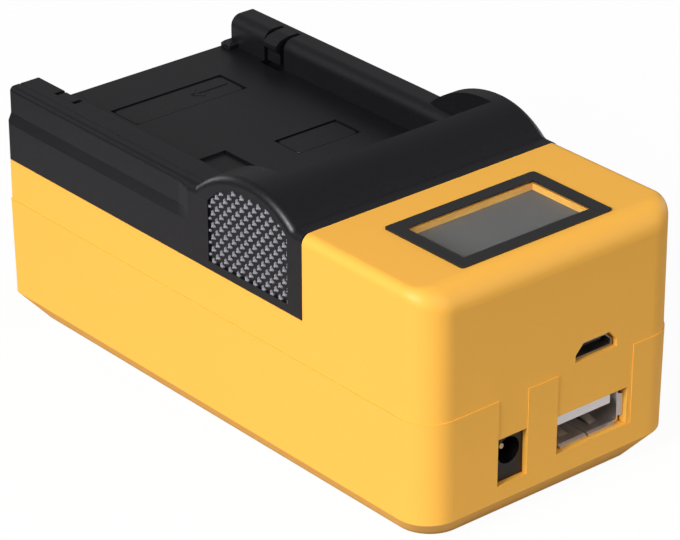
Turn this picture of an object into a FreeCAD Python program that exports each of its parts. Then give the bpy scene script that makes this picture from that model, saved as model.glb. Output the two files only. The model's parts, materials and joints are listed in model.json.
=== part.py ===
# Camera battery charger: a two-part yellow case with a display, two USB sockets and a DC
# inlet in its nose, a fold-away mains plug underneath, and a black battery plate that
# slides off the deck of the case. Millimetres, +Z up, sockets towards -Y, origin at the
# middle of the footprint.
import FreeCAD, Part
import math
import os

V = FreeCAD.Vector

# Case
body_width = 50.4
body_length = 100.4
parting_z = 20.6
case_wall = 2.0
base_thickness = 2.0
lower_draft = 0.2
bevel_height = 3.9
bevel_inset = 3.1
bevel_skin = 1.0
bevel_skin_rise = 0.7
front_corner_radius = 5.5
rear_corner_radius = 0.6
foot_rear_radius = 2.0
cavity_rear_radius = 1.0
cavity_foot_cut = 2.0
upper_case_inset = 0.15
lip_depth = 1.2
lip_wall = 1.1
lip_clearance = 0.1
shoulder_rise = 6.85
shoulder_thickness = 2.0
head_length = 27.1
head_side_round = 1.6
head_front_round = 3.8
roof_thickness = 1.75

# Deck of the upper case, a T-shaped slide for the battery plate
deck_rise = 4.95
deck_flange_thickness = 1.4
deck_overhang = 1.2
deck_rear_wall = 2.2
deck_skin = 2.0
slide_clearance = 0.2
seam_gap = 0.1

# Battery plate
plate_floor_rise = 2.6
bay_depth = 5.1
head_rise = 1.2
hump_rise = 3.78
plate_side_wall = 2.25
plate_rear_wall = 2.0
left_rail_width = 6.15
right_rail_width = 5.45
left_rail_round = 0.4
right_rail_round = 1.85
rail_outer_round = 0.8
ledge_rise = 6.25
ledge_slope_height = 2.0
ledge_depth = 0.3
ledge_fade_gap = 1.5
ledge_fade_length = 2.5
rear_ledge_depth = 0.7
bay_front_offset = 1.22
hump_foot_land = 1.68
hump_front_radius = 15.3
hump_rear_radius = 19.0
hump_foot_fillet = 1.0
hump_heel_fillet = 0.5
hump_end_round = 1.3
grip_rim = 2.0
grip_front_reach = 8.82
grip_rear_reach = 9.68
grip_sill = 1.45
grip_depth = 0.9
rail_crease_inset = 2.25
rail_crease_width = 0.3
rail_crease_depth = 0.2
panel_depth = 0.45
front_panel_x = (0.9, 13.45)
front_panel_start = 21.15
front_panel_length = 6.25
rear_panel_x = (-11.7, 10.5)
rear_panel_setback = 9.25
rear_panel_length = 7.0
step_panel_x = (-12.1, -6.95)
step_panel_length = 29.6
foot_lug_width = 1.8
foot_lug_length = 2.6
foot_lug_height = 1.1
foot_lug_root = 0.5
foot_lug_end_gap = 0.2
foot_lug_edge = 0.4

# Contact chamber under the hump
chamber_half = 17.0
chamber_wall = 1.8
chamber_roof_thickness = 2.0
crest_wall = 1.65
contact_count = 4
contact_pitch = 5.0
contact_thickness = 0.6
contact_rise = 1.0
contact_height = 3.2
contact_reach = 4.35
contact_tip_edge = 0.6
contact_tail = 4.6
contact_slot_clearance = 0.25
holder_half = 9.6
holder_height = 5.4
holder_wrap = 0.4
holder_gap = 0.1
plate_board_clearance = 0.3
plate_board_thickness = 1.2
stake_x = 13.4
stake_width = 1.8
stake_shoulder_width = 3.2
stake_clearance = 0.06

# Battery catches, spring fingers cut into the rails
catch_nose = 0.9
catch_leg_thickness = 1.2
catch_top_thickness = 1.5
catch_foot_gap = 0.4
catch_pocket_depth = 0.8
catch_root_gap = 0.04
catch_pocket_sink = 0.8
catch_top_gap = 0.3
catch_crown_drop = 0.4
catch_nose_top = 0.3
catch_nose_low = 0.4
catch_nose_foot = 1.3
right_catch_setback = 10.25
right_catch_width = 3.2
right_catch_slot = 0.9
right_catch_length = 3.7
left_catch_setback = 8.25
left_catch_width = 3.6
left_catch_slot = 0.9
left_catch_length = 2.1

# Display
display_x = 0.0
display_setback = 12.75
display_boss_gap = 0.6
bezel_depth = 17.05
bezel_border = 2.3
bezel_thickness = 0.25
bezel_corner_radius = 0.6
window_thickness = 0.65
window_inset = 0.3
display_fit = 0.05
lcd_margin = 0.7
lcd_thickness = 1.6
lcd_roof_gap = 0.05
lcd_wall = 1.0
lcd_tray_thickness = 1.3
lcd_leg = 2.0
lcd_leg_gap = 0.5
lcd_pin_count = 10
lcd_pin_pitch = 2.0
lcd_pin_width = 0.5
lcd_pin_inset = 2.7
lcd_pin_slot = 2.0

# Sockets in the front wall
dc_side_inset = 14.2
dc_opening_width = 5.75
dc_opening_z = (6.45, 14.1)
usb_side_inset = 10.35
usb_opening_width = 14.25
usb_opening_z = (7.5, 13.75)
usb_leg_width = 0.8
tongue_clearance = 0.05
tongue_thickness = 1.6
usb_setback = 1.0
usb_shell_width = 13.1
usb_shell_height = 5.72
usb_shell_length = 13.5
usb_sheet = 0.3
usb_lip_length = 0.5
usb_lip_flare = (0.5, 0.2)
usb_lip_inset = 1.0
usb_tongue_width = 11.1
usb_tongue_thickness = 1.84
usb_tongue_gap = 0.55
usb_tongue_setback = 1.2
usb_tongue_length = 8.4
usb_contact_width = 1.0
usb_contact_offsets = (-3.5, -1.0, 1.0, 3.5)
usb_contact_thickness = 0.25
usb_contact_bow = 0.35
usb_contact_run = (0.6, 1.8, 2.8, 4.2)
usb_spring_offset = 3.0
usb_spring_width = 1.6
usb_spring_rise = 1.0
usb_spring_run = (1.5, 5.0, 6.5)
usb_spring_clearance = 0.2
usb_seam = 0.25
micro_offset = 0.375
micro_setback = 0.8
micro_opening_width = 8.3
micro_opening_height = 2.85
micro_opening_step = 1.2
micro_opening_top = 5.2
micro_shell_width = 7.5
micro_shell_height = 2.45
micro_shell_step = 1.0
micro_shell_top = 4.8
micro_shell_length = 5.6
micro_sheet = 0.3
micro_tongue_width = 4.4
micro_tongue_thickness = 0.6
micro_tongue_setback = 0.8
micro_back_length = 1.4
jack_fit = 0.05
jack_setback = 1.1
jack_length = 11.5
jack_width = 7.4
jack_shoulder_gap = 0.15
jack_roof = 0.3
jack_bore_drop = 2.95
jack_bore_radius = 2.15
jack_bore_depth = 9.0
jack_pin_radius = 0.82
jack_pin_setback = 1.4
jack_notch_clearance = 0.2
jack_spring_setback = 1.6
jack_spring_thickness = 0.3
jack_spring_height = 1.6
jack_spring_bow = 0.6
jack_spring_run = 2.6
jack_spring_clearance = 0.1

# Boards
board_thickness = 1.6
board_corner_cut = 1.2
board_edge_clearance = 0.7
board_side_clearance = 1.25
main_board_gap = 3.1
power_board_z = 14.6
power_board_overhang = 2.0
control_board_z = 20.0
control_board_margin = 1.2
boss_board_clearance = 0.55
board_hole_clearance = 0.2

# Screws and bosses
case_screw_radius = 1.2
case_screw_length = 16.0
screw_head_radius = 2.3
screw_head_height = 1.8
screw_socket_radius = 0.95
screw_socket_depth = 0.9
counterbore_clearance = 0.3
boss_radius = 3.25
front_boss_inset = (6.4, 9.2)
front_counterbore = 11.0
rear_boss_inset = (6.7, 7.2)
rear_counterbore = 6.0
pilot_clearance = 0.03
pilot_run = 1.0
post_width = 4.4
post_side_inset = 2.0
front_post_setback = 19.2
rear_post_setback = 9.0
post_screw_radius = 0.9
post_screw_length = 4.0
post_screw_head_radius = 1.7
post_screw_head_height = 1.2
post_screw_socket_radius = 0.7
post_screw_socket_depth = 0.6
board_prop_inset = (3.35, 3.5)
board_prop_width = 4.0

# Fold-away mains plug
recess_half = 13.2
recess_length = 34.8
recess_top_z = 9.4
housing_wall = 1.8
housing_fit = 0.1
housing_boss_gap = 0.05
hinge_setback = 5.0
hinge_z = 4.7
hinge_barrel_radius = 4.2
hinge_nose = 4.5
carrier_side_gap = 0.3
stub_radius = 1.5
stub_length = 1.3
stub_clearance = 0.06
stub_end_gap = 0.1
blade_spacing = 12.7
blade_width = 6.35
blade_thickness = 1.5
blade_length = 16.5
blade_root = 4.2
blade_tip_chamfer = 1.0
thumb_notch_half = 4.5
thumb_notch_depth = 0.9
mains_spring_width = 3.0
mains_spring_thickness = 0.4
mains_spring_gap = 0.3
mains_slot_clearance = 0.3

# Parts on the boards
spring_pin_count = 4
spring_pin_pitch = 5.0
spring_pin_width = 1.5
spring_pin_clearance = 0.08
spring_pin_rise = 0.02
spring_pin_reach = 5.0
spring_pin_travel = 0.6
spring_pin_tip = 0.35
pin_block_half = 10.0
pin_block_depth = 5.0
pin_block_gap = 0.3
plate_board_rise = 0.3
relief_clearance = 0.15
core_width = 18.0
core_depth = 10.0
core_height = 12.2
core_leg = 5.2
core_yoke = 2.5
core_setback = 14.0
winding_gap = 0.25
winding_overhang = 2.6
bulk_radius = 5.0
bulk_length = 16.0
can_side_inset = 8.75
bulk_setback = 24.0
bulk_seat = 0.05
output_cap_radius = 3.15
output_cap_height = 11.0
output_cap_setbacks = (25.0, 32.5)
can_edge = 0.5
rectifier_size = (6.2, 6.2, 2.5)
rectifier_place = (0.0, 26.0)
switch_size = (10.0, 4.5, 9.5)
switch_place = (0.5, 33.5)
fuse_size = (8.4, 4.0, 7.6)
fuse_place = (0.0, 42.0)
choke_outer_radius = 5.6
choke_inner_radius = 2.4
choke_height = 4.0
choke_x = -5.0
charge_chip_size = (7.0, 7.0, 1.0)
charge_chip_x = 6.5
control_chip_size = (10.0, 10.0, 1.4)
control_chip_place = (-2.0, -0.55)
chip_edge = 0.2
link_pin_width = 0.64
link_pin_pitch = 2.54
signal_pin_count = 6
signal_pin_setback = 2.0
power_pin_count = 4
power_pin_inset = 2.0

half_width = body_width / 2
front_y = -body_length / 2
rear_y = body_length / 2
shell_half = half_width - upper_case_inset
shell_front_y = front_y + upper_case_inset
shell_rear_y = rear_y - upper_case_inset
shell_front_radius = front_corner_radius - upper_case_inset
shell_rear_radius = rear_corner_radius - upper_case_inset

shoulder_z = parting_z + shoulder_rise
deck_top_z = shoulder_z + deck_rise
deck_flange_z = deck_top_z - deck_flange_thickness
deck_flange_half = shell_half - plate_side_wall - slide_clearance
deck_neck_half = deck_flange_half - deck_overhang
plate_floor_z = deck_top_z + plate_floor_rise
rail_top_z = plate_floor_z + bay_depth
head_top_z = rail_top_z + head_rise
hump_top_z = head_top_z + hump_rise
roof_under_z = head_top_z - roof_thickness
ledge_low_z = shoulder_z + ledge_rise
ledge_high_z = ledge_low_z + ledge_slope_height
plate_bottom_z = shoulder_z + seam_gap
plate_ceiling_z = deck_top_z + slide_clearance
plate_board_z = plate_ceiling_z + plate_board_rise
contact_low_z = plate_floor_z + contact_rise

head_rear_y = front_y + head_length
plate_front_y = head_rear_y + seam_gap
hump_foot_y = plate_front_y + hump_foot_land
hump_foot_z = head_top_z + hump_foot_fillet
hump_front_z = hump_top_z - hump_front_radius
hump_rear_z = hump_top_z - hump_rear_radius
hump_foot_reach = hump_front_radius + hump_foot_fillet
hump_axis_y = hump_foot_y + math.sqrt(hump_foot_reach ** 2 - (hump_foot_z - hump_front_z) ** 2)
hump_heel_z = rail_top_z + hump_heel_fillet
hump_heel_reach = hump_rear_radius + hump_heel_fillet
hump_heel_y = hump_axis_y + math.sqrt(hump_heel_reach ** 2 - (hump_heel_z - hump_rear_z) ** 2)
ledge_fade_start_y = hump_heel_y + ledge_fade_gap
ledge_fade_end_y = ledge_fade_start_y + ledge_fade_length
bay_front_y = hump_axis_y - bay_front_offset
bay_left_x = left_rail_width - shell_half
bay_right_x = shell_half - right_rail_width
left_catch_root_x = bay_left_x - left_catch_length
right_catch_root_x = bay_right_x + right_catch_length
right_catch_rear_y = shell_rear_y - right_catch_setback
left_catch_rear_y = shell_rear_y - left_catch_setback
right_catch_y = (right_catch_rear_y - right_catch_width, right_catch_rear_y)
left_catch_y = (left_catch_rear_y - left_catch_width, left_catch_rear_y)
front_panel_y = (bay_front_y + front_panel_start, bay_front_y + front_panel_start + front_panel_length)
rear_panel_rear_y = shell_rear_y - rear_panel_setback
rear_panel_y = (rear_panel_rear_y - rear_panel_length, rear_panel_rear_y)
step_panel_y = (bay_front_y, bay_front_y + step_panel_length)
rail_crease_x = rail_crease_inset - shell_half
chamber_front_y = head_rear_y + chamber_wall
chamber_rear_y = bay_front_y - crest_wall
spring_pin_y = (chamber_front_y + chamber_rear_y) / 2

front_boss_x = half_width - front_boss_inset[0]
front_boss_y = front_y + front_boss_inset[1]
rear_boss_x = half_width - rear_boss_inset[0]
rear_boss_y = rear_y - rear_boss_inset[1]
recess_rear_y = rear_boss_y - boss_radius - housing_boss_gap - housing_fit - housing_wall
recess_front_y = recess_rear_y - recess_length
hinge_y = recess_rear_y - hinge_setback
display_y = front_y + display_setback
lcd_tray_half = front_boss_x - boss_radius - display_boss_gap
bezel_width = 2 * (lcd_tray_half - lcd_wall + lcd_margin)
lcd_pin_y = display_y + bezel_depth / 2 - lcd_pin_inset
lcd_top_z = roof_under_z - lcd_roof_gap
lcd_seat_z = lcd_top_z - lcd_thickness
blade_centres = (-blade_spacing / 2, blade_spacing / 2)

dc_opening_x = (dc_side_inset - half_width, dc_side_inset - half_width + dc_opening_width)
usb_opening_x = (half_width - usb_side_inset - usb_opening_width, half_width - usb_side_inset)
usb_x = (usb_opening_x[0] + usb_opening_x[1]) / 2
usb_z = (usb_opening_z[0] + usb_opening_z[1]) / 2
notch_right_x = usb_opening_x[1] + usb_leg_width
usb_shell_y = (front_y + usb_setback + usb_lip_length, front_y + usb_setback + usb_shell_length)
usb_tongue_y = front_y + usb_setback + usb_tongue_setback
usb_tongue_low_z = usb_z + usb_shell_height / 2 - usb_sheet - usb_tongue_gap - usb_tongue_thickness
micro_x = usb_x + micro_offset
micro_shell_y = (front_y + micro_setback, front_y + micro_setback + micro_shell_length)
jack_x = (dc_opening_x[0] + dc_opening_x[1]) / 2
jack_y = (front_y + jack_setback, front_y + jack_setback + jack_length)
jack_shoulder_y = front_y + case_wall + lower_draft + jack_shoulder_gap
jack_bore_z = dc_opening_z[1] - jack_bore_drop

main_board_top = usb_z - usb_shell_height / 2
main_board_z = main_board_top - board_thickness
main_board_half = front_boss_x - boss_radius - boss_board_clearance
main_board_rear_y = recess_front_y - housing_wall - housing_fit - main_board_gap
power_board_top = power_board_z + board_thickness
power_pin_y = main_board_rear_y - power_pin_inset
power_board_front_y = power_pin_y - power_board_overhang
signal_pin_y = power_board_front_y - signal_pin_setback
control_board_top = control_board_z + board_thickness
control_board_rear_y = signal_pin_y + control_board_margin
board_front_y = front_y + case_wall + board_edge_clearance
board_half = half_width - case_wall - board_side_clearance
post_x = main_board_half - post_side_inset
front_post_y = front_y + front_post_setback
rear_post_y = main_board_rear_y - rear_post_setback
main_board_middle_y = (usb_shell_y[1] + signal_pin_y) / 2
core_y = power_board_front_y + core_setback
bulk_y = power_board_front_y + bulk_setback
bulk_x = can_side_inset - board_half
output_cap_x = board_half - can_side_inset
board_prop_x = board_half - board_prop_inset[0]
board_prop_y = power_board_front_y + board_prop_inset[1]


def spread(count, pitch):
    """Evenly pitched places centred on zero."""
    return [(index - (count - 1) / 2) * pitch for index in range(count)]


def box(x, y, z):
    """Block between the low and high values of x, y and z."""
    return Part.makeBox(x[1] - x[0], y[1] - y[0], z[1] - z[0], V(x[0], y[0], z[0]))


def post(radius, x, y, z):
    """Upright cylinder from z[0] to z[1]."""
    return Part.makeCylinder(radius, z[1] - z[0], V(x, y, z[0]), V(0, 0, 1))


def fuse(first, *others):
    """Union with the seams between coplanar faces removed."""
    return first.multiFuse(list(others)).removeSplitter()


def cut(first, *others):
    """First shape without the others."""
    return first.cut(list(others))


def joined(wires_points):
    """Closed wire through a chain of points; a three-point entry is an arc."""
    edges = []
    for entry in wires_points:
        if len(entry) == 3:
            edges.append(Part.Arc(*entry).toShape())
        else:
            edges.append(Part.makeLine(*entry))
    return Part.Wire(edges)


def outline(x, y, z, front_radius, rear_radius):
    """Level rounded outline with one corner radius at the front and one at the rear."""
    corners = (
        (x[1] - front_radius, y[0] + front_radius, front_radius),
        (x[1] - rear_radius, y[1] - rear_radius, rear_radius),
        (x[0] + rear_radius, y[1] - rear_radius, rear_radius),
        (x[0] + front_radius, y[0] + front_radius, front_radius),
    )
    arcs = []
    for index, (cx, cy, radius) in enumerate(corners):
        angles = [math.pi / 2 * (index - 1 + turn) for turn in (0, 0.5, 1)]
        arcs.append([V(cx + radius * math.cos(a), cy + radius * math.sin(a), z) for a in angles])
    chain = []
    for index, arc in enumerate(arcs):
        chain.append((arcs[index - 1][2], arc[0]))
        chain.append(tuple(arc))
    return joined(chain)


def rounded_block(x, y, z, front_radius, rear_radius):
    """Upright block on a rounded outline."""
    face = Part.Face(outline(x, y, z[0], front_radius, rear_radius))
    return face.extrude(V(0, 0, z[1] - z[0]))


def cut_outline(x, y, z, corner):
    """Level rectangle with its four corners cut off."""
    points = [
        (x[0] + corner, y[0]), (x[1] - corner, y[0]), (x[1], y[0] + corner), (x[1], y[1] - corner),
        (x[1] - corner, y[1]), (x[0] + corner, y[1]), (x[0], y[1] - corner), (x[0], y[0] + corner),
    ]
    ring = [V(px, py, z) for px, py in points]
    return Part.makePolygon(ring + ring[:1])


def body_outline(inset, z, front_radius=front_corner_radius, rear_radius=rear_corner_radius):
    """Plan of the charger, drawn in by an inset."""
    x = (-half_width + inset, half_width - inset)
    y = (front_y + inset, rear_y - inset)
    return outline(x, y, z, front_radius, rear_radius)


def pillar(width, x, y, z):
    """Upright square bar from z[0] to z[1]."""
    half = width / 2
    return box((x - half, x + half), (y - half, y + half), z)


def side_prism(points, x):
    """Prism along X on a polygon given as (y, z) pairs."""
    ring = [V(x[0], y, z) for y, z in points]
    return Part.Face(Part.makePolygon(ring + ring[:1])).extrude(V(x[1] - x[0], 0, 0))


def front_prism(points, y):
    """Prism along Y on a polygon given as (x, z) pairs."""
    ring = [V(x, y[0], z) for x, z in points]
    return Part.Face(Part.makePolygon(ring + ring[:1])).extrude(V(0, y[1] - y[0], 0))


def plan_prism(points, z):
    """Prism along Z on a polygon given as (x, y) pairs."""
    ring = [V(x, y, z[0]) for x, y in points]
    return Part.Face(Part.makePolygon(ring + ring[:1])).extrude(V(0, 0, z[1] - z[0]))


def bevelled_rod(radius, length, start, direction, edge):
    """Round bar whose far end is bevelled."""
    bar = Part.makeCylinder(radius, length - edge, start, direction)
    far = start + direction * (length - edge)
    return fuse(bar, Part.makeCone(radius, radius - edge, edge, far, direction))


def mirrored(shape):
    """Copy on the other side of the middle plane."""
    return shape.mirror(V(0, 0, 0), V(1, 0, 0))


def front_bosses(radius, z):
    return [post(radius, side * front_boss_x, front_boss_y, z) for side in (-1, 1)]


def rear_bosses(radius, z):
    return [post(radius, side * rear_boss_x, rear_boss_y, z) for side in (-1, 1)]


def lower_body(inset=0.0):
    """Outer form of the lower case: drafted sides over a bevelled foot."""
    waist = body_outline(lower_draft + inset, bevel_height)
    sides = Part.makeLoft([waist, body_outline(inset, parting_z)], True, True)
    foot = body_outline(lower_draft + bevel_inset + inset, 0, front_corner_radius, foot_rear_radius)
    return fuse(Part.makeLoft([foot, waist], True, True), sides)


def lower_cavity():
    """Inside of the lower case, which follows its outside at one wall's thickness."""
    waist_z = bevel_height + bevel_skin_rise
    rings = []
    for inset, z in ((lower_draft + bevel_inset + bevel_skin, base_thickness),
                     (lower_draft + case_wall, waist_z)):
        x = half_width - inset
        rings.append(cut_outline((-x, x), (front_y + inset, rear_y - inset), z, cavity_foot_cut))
    waist = body_outline(lower_draft + case_wall, waist_z, front_corner_radius - case_wall,
                         cavity_rear_radius)
    room = Part.Face(waist).extrude(V(0, 0, parting_z - waist_z))
    return fuse(Part.makeLoft(rings, True, True), room)


def plug_opening(clearance):
    """Block that the plug housing fills in the floor of the lower case."""
    wall = housing_wall + clearance
    x = (-recess_half - wall, recess_half + wall)
    y = (recess_front_y - wall, recess_rear_y + wall)
    return box(x, y, (-1, recess_top_z + wall))


def lower_case():
    shell = cut(lower_body(), lower_cavity())
    lip = body_outline(lip_wall, parting_z - lip_depth, front_corner_radius - lip_wall,
                       cavity_rear_radius)
    shell = cut(shell, Part.Face(lip).extrude(V(0, 0, lip_depth + 1)))
    notch_y = (front_y - 1, front_y + case_wall + lower_draft)
    top = parting_z + 1
    dc_notch = box(dc_opening_x, notch_y, (dc_opening_z[0], top))
    usb_notch = box((usb_opening_x[0], notch_right_x), notch_y, (usb_opening_z[0], top))
    shell = cut(shell, dc_notch, usb_notch)
    inside = base_thickness / 2
    pillars = front_bosses(boss_radius, (inside, control_board_z))
    pillars += rear_bosses(boss_radius, (inside, power_board_z))
    for side in (-1, 1):
        pillars.append(pillar(board_prop_width, side * board_prop_x, board_prop_y,
                              (inside, power_board_z)))
        for y in (front_post_y, rear_post_y):
            pillars.append(pillar(post_width, side * post_x, y, (inside, main_board_z)))
    pillars = [shape.common(lower_body(lip_wall)) for shape in pillars]
    shell = fuse(shell, *pillars)
    hole = case_screw_radius + board_hole_clearance
    bore = screw_head_radius + counterbore_clearance
    holes = front_bosses(hole, (-1, control_board_z + 1)) + rear_bosses(hole, (-1, parting_z))
    holes += front_bosses(bore, (-1, front_counterbore)) + rear_bosses(bore, (-1, rear_counterbore))
    pilot = post_screw_radius + pilot_clearance
    tip = main_board_top - post_screw_length - pilot_clearance
    holes += [post(pilot, side * post_x, rear_post_y, (tip, main_board_z + 1)) for side in (-1, 1)]
    return cut(shell, plug_opening(housing_fit), *holes)


def head_half():
    """Left half of the head: its top round grows from the side towards the front."""
    w = shell_half
    r = shell_front_radius
    k = r * math.sqrt(0.5)
    y0 = shell_front_y
    z = parting_z
    middle = V(-w + r - k, y0 + r - k, z)
    chain = [
        (V(0, head_rear_y, z), V(-w, head_rear_y, z)),
        (V(-w, head_rear_y, z), V(-w, y0 + r, z)),
        (V(-w, y0 + r, z), middle, V(-w + r, y0, z)),
        (V(-w + r, y0, z), V(0, y0, z)),
        (V(0, y0, z), V(0, head_rear_y, z)),
    ]
    solid = Part.Face(joined(chain)).extrude(V(0, 0, head_top_z - parting_z))
    corner = []
    for edge in solid.Edges:
        level = edge.BoundBox.ZMin > head_top_z - 0.01
        if level and isinstance(edge.Curve, Part.Circle):
            corner.append(edge)
    return solid.makeFillet(head_side_round, head_front_round, corner)


def upper_cavity():
    """Room under the roof, the shoulder and the deck."""
    x = shell_half - case_wall
    y0 = shell_front_y + case_wall
    y1 = shell_rear_y - case_wall
    front_radius = shell_front_radius - case_wall
    below = rounded_block((-x, x), (y0, y1), (parting_z - lip_depth - 1,
                          shoulder_z - shoulder_thickness), front_radius, cavity_rear_radius)
    head = rounded_block((-x, x), (y0, head_rear_y - case_wall), (parting_z, roof_under_z),
                         front_radius, cavity_rear_radius)
    deck_x = deck_neck_half - case_wall
    deck_rear = shell_rear_y - plate_rear_wall - deck_rear_wall - slide_clearance
    deck = box((-deck_x, deck_x), (head_rear_y - case_wall - 1, deck_rear),
               (parting_z, deck_top_z - deck_skin))
    return below, head, deck


def case_tongues():
    """Parts of the upper case that hang down and close the notches over the sockets."""
    wall = box((-half_width, half_width), (front_y - 1, front_y + tongue_thickness + lower_draft),
               (0, parting_z))
    flush = lower_body(upper_case_inset).common(wall)
    c = tongue_clearance
    reach = (front_y - 1, front_y + tongue_thickness + lower_draft)
    dc = box((dc_opening_x[0] + c, dc_opening_x[1] - c), reach, (dc_opening_z[1], parting_z))
    usb = box((usb_opening_x[0] + c, notch_right_x - c), reach, (usb_opening_z[1], parting_z))
    leg = box((usb_opening_x[1], notch_right_x - c), reach, (usb_opening_z[0] + c, usb_opening_z[1]))
    return [flush.common(part) for part in (dc, usb, leg)]


def micro_section(width, height, step, top, z, x):
    """Outline of a micro-USB socket: straight sides, then slanted to a narrower top."""
    return [
        (x - width / 2, z), (x + width / 2, z), (x + width / 2, z + step),
        (x + top / 2, z + height), (x - top / 2, z + height), (x - width / 2, z + step),
    ]


def upper_case():
    left = head_half()
    skirt = Part.Face(outline((-shell_half, shell_half), (shell_front_y, shell_rear_y), parting_z,
                              shell_front_radius, shell_rear_radius))
    skirt = skirt.extrude(V(0, 0, shoulder_z - parting_z))
    deck_y = (head_rear_y - 1, shell_rear_y - plate_rear_wall - slide_clearance)
    neck = box((-deck_neck_half, deck_neck_half), deck_y, (parting_z, deck_top_z))
    flange = box((-deck_flange_half, deck_flange_half), deck_y, (deck_flange_z, deck_top_z))
    ring_inset = lip_wall + lip_clearance
    ring_z = (parting_z - lip_depth + lip_clearance, parting_z + 1)
    ring_x = half_width - ring_inset
    ring = rounded_block((-ring_x, ring_x), (front_y + ring_inset, rear_y - ring_inset), ring_z,
                         front_corner_radius - ring_inset, cavity_rear_radius)
    body = fuse(left, mirrored(left), skirt, neck, flange, ring)
    body = cut(body, *upper_cavity())
    c = tongue_clearance
    clear_y = (front_y, front_y + case_wall + lower_draft)
    for x in (dc_opening_x, (usb_opening_x[0], notch_right_x)):
        body = cut(body, box((x[0] - c, x[1] + c), clear_y, (ring_z[0] - 1, parting_z)))
    body = fuse(body, *case_tongues())
    room = upper_cavity()
    ceiling = roof_under_z + roof_thickness / 2
    bosses = front_bosses(boss_radius, (control_board_top, ceiling))
    bosses += rear_bosses(boss_radius, (power_board_top, deck_top_z - deck_skin / 2))
    side_room = box((-shell_half + 1, shell_half - 1), (shell_front_y + 1, shell_rear_y - 1),
                    (0, shoulder_z - shoulder_thickness / 2))
    front_pair = bosses[:2]
    rear_pair = [boss.common(fuse(side_room, room[2].copy())) for boss in bosses[2:]]
    body = fuse(body, *(front_pair + rear_pair))
    pilot = case_screw_radius + pilot_clearance
    front_tip = front_counterbore + case_screw_length + pilot_run
    rear_tip = rear_counterbore + case_screw_length + pilot_run
    holes = front_bosses(pilot, (control_board_z, front_tip))
    holes += rear_bosses(pilot, (power_board_z, rear_tip))
    holes.append(display_cut())
    micro = micro_section(micro_opening_width, micro_opening_height, micro_opening_step,
                          micro_opening_top, control_board_top - seam_gap, micro_x)
    holes.append(front_prism(micro, (front_y - 1, front_y + case_wall + 1)))
    slot_x = (spring_pin_count - 1) / 2 * spring_pin_pitch + spring_pin_width / 2 + spring_pin_clearance
    slot_y = spring_pin_width / 2 + spring_pin_clearance
    holes.append(box((-slot_x, slot_x), (spring_pin_y - slot_y, spring_pin_y + slot_y),
                     (deck_top_z - deck_skin - 1, deck_top_z + 1)))
    return cut(body, *holes)


def display_area(margin, z):
    """Block centred on the display, smaller than the bezel by a margin all round."""
    x = bezel_width / 2 - margin
    y = bezel_depth / 2 - margin
    return box((display_x - x, display_x + x), (display_y - y, display_y + y), z)


def display_cut():
    """Pocket for the clear window and the opening below it."""
    pocket = display_area(window_inset - display_fit, (head_top_z - window_thickness, head_top_z + 1))
    window = display_area(bezel_border, (roof_under_z - 1, head_top_z))
    return fuse(pocket, window)


def display_bezel():
    """Thin frame that lies on the edge of the window and on the roof round it."""
    z = (head_top_z, head_top_z + bezel_thickness)
    x = bezel_width / 2
    y = bezel_depth / 2
    frame = rounded_block((display_x - x, display_x + x), (display_y - y, display_y + y), z,
                          bezel_corner_radius, bezel_corner_radius)
    return cut(frame, display_area(bezel_border, (z[0] - 1, z[1] + 1)))


def display_window():
    return display_area(window_inset, (head_top_z - window_thickness, head_top_z))


def lcd_panel():
    return display_area(lcd_margin, (lcd_seat_z, lcd_top_z))


def lcd_holder():
    """Tray on four legs that holds the display glass under the roof."""
    tray_z = lcd_seat_z - lcd_tray_thickness
    outer = display_area(lcd_margin - lcd_wall, (tray_z, lcd_seat_z + lcd_thickness / 2))
    pocket = display_area(lcd_margin - display_fit, (lcd_seat_z, lcd_top_z))
    slot_x = lcd_pin_pitch * lcd_pin_count / 2 + lcd_pin_width / 2
    slot_y = lcd_pin_slot / 2
    pin_slot = box((display_x - slot_x, display_x + slot_x),
                   (lcd_pin_y - slot_y, lcd_pin_y + slot_y), (tray_z - 1, lcd_top_z))
    tray = cut(outer, pocket, pin_slot)
    front_leg_y = micro_shell_y[1] + lcd_leg_gap
    rear_leg_y = display_y + bezel_depth / 2 - lcd_margin + lcd_wall - lcd_leg
    legs = []
    for side in (-1, 1):
        x_span = sorted((display_x + side * lcd_tray_half, display_x + side * (lcd_tray_half - lcd_leg)))
        for y in (front_leg_y, rear_leg_y):
            legs.append(box(x_span, (y, y + lcd_leg), (control_board_top, tray_z)))
    return fuse(tray, *legs)


def square_pins(width, places, z):
    """Row of square pins; each place is (x, y)."""
    half = width / 2
    return Part.makeCompound([box((x - half, x + half), (y - half, y + half), z) for x, y in places])


def lcd_pins():
    places = [(display_x + x, lcd_pin_y) for x in spread(lcd_pin_count, lcd_pin_pitch)]
    return square_pins(lcd_pin_width, places, (control_board_top, lcd_seat_z))


def board(x, y, z, holes):
    """Circuit board with round holes given as (radius, x, y)."""
    slab = Part.Face(cut_outline((-x, x), y, z[0], board_corner_cut)).extrude(V(0, 0, z[1] - z[0]))
    drills = [post(radius, hx, hy, (z[0] - 1, z[1] + 1)) for radius, hx, hy in holes]
    return cut(slab, *drills)


def control_board():
    hole = case_screw_radius + board_hole_clearance
    holes = [(hole, side * front_boss_x, front_boss_y) for side in (-1, 1)]
    return board(board_half, (board_front_y, control_board_rear_y),
                 (control_board_z, control_board_top), holes)


def power_board():
    hole = case_screw_radius + board_hole_clearance
    holes = [(hole, side * rear_boss_x, rear_boss_y) for side in (-1, 1)]
    return board(board_half, (power_board_front_y, rear_y - case_wall - board_edge_clearance),
                 (power_board_z, power_board_top), holes)


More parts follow.
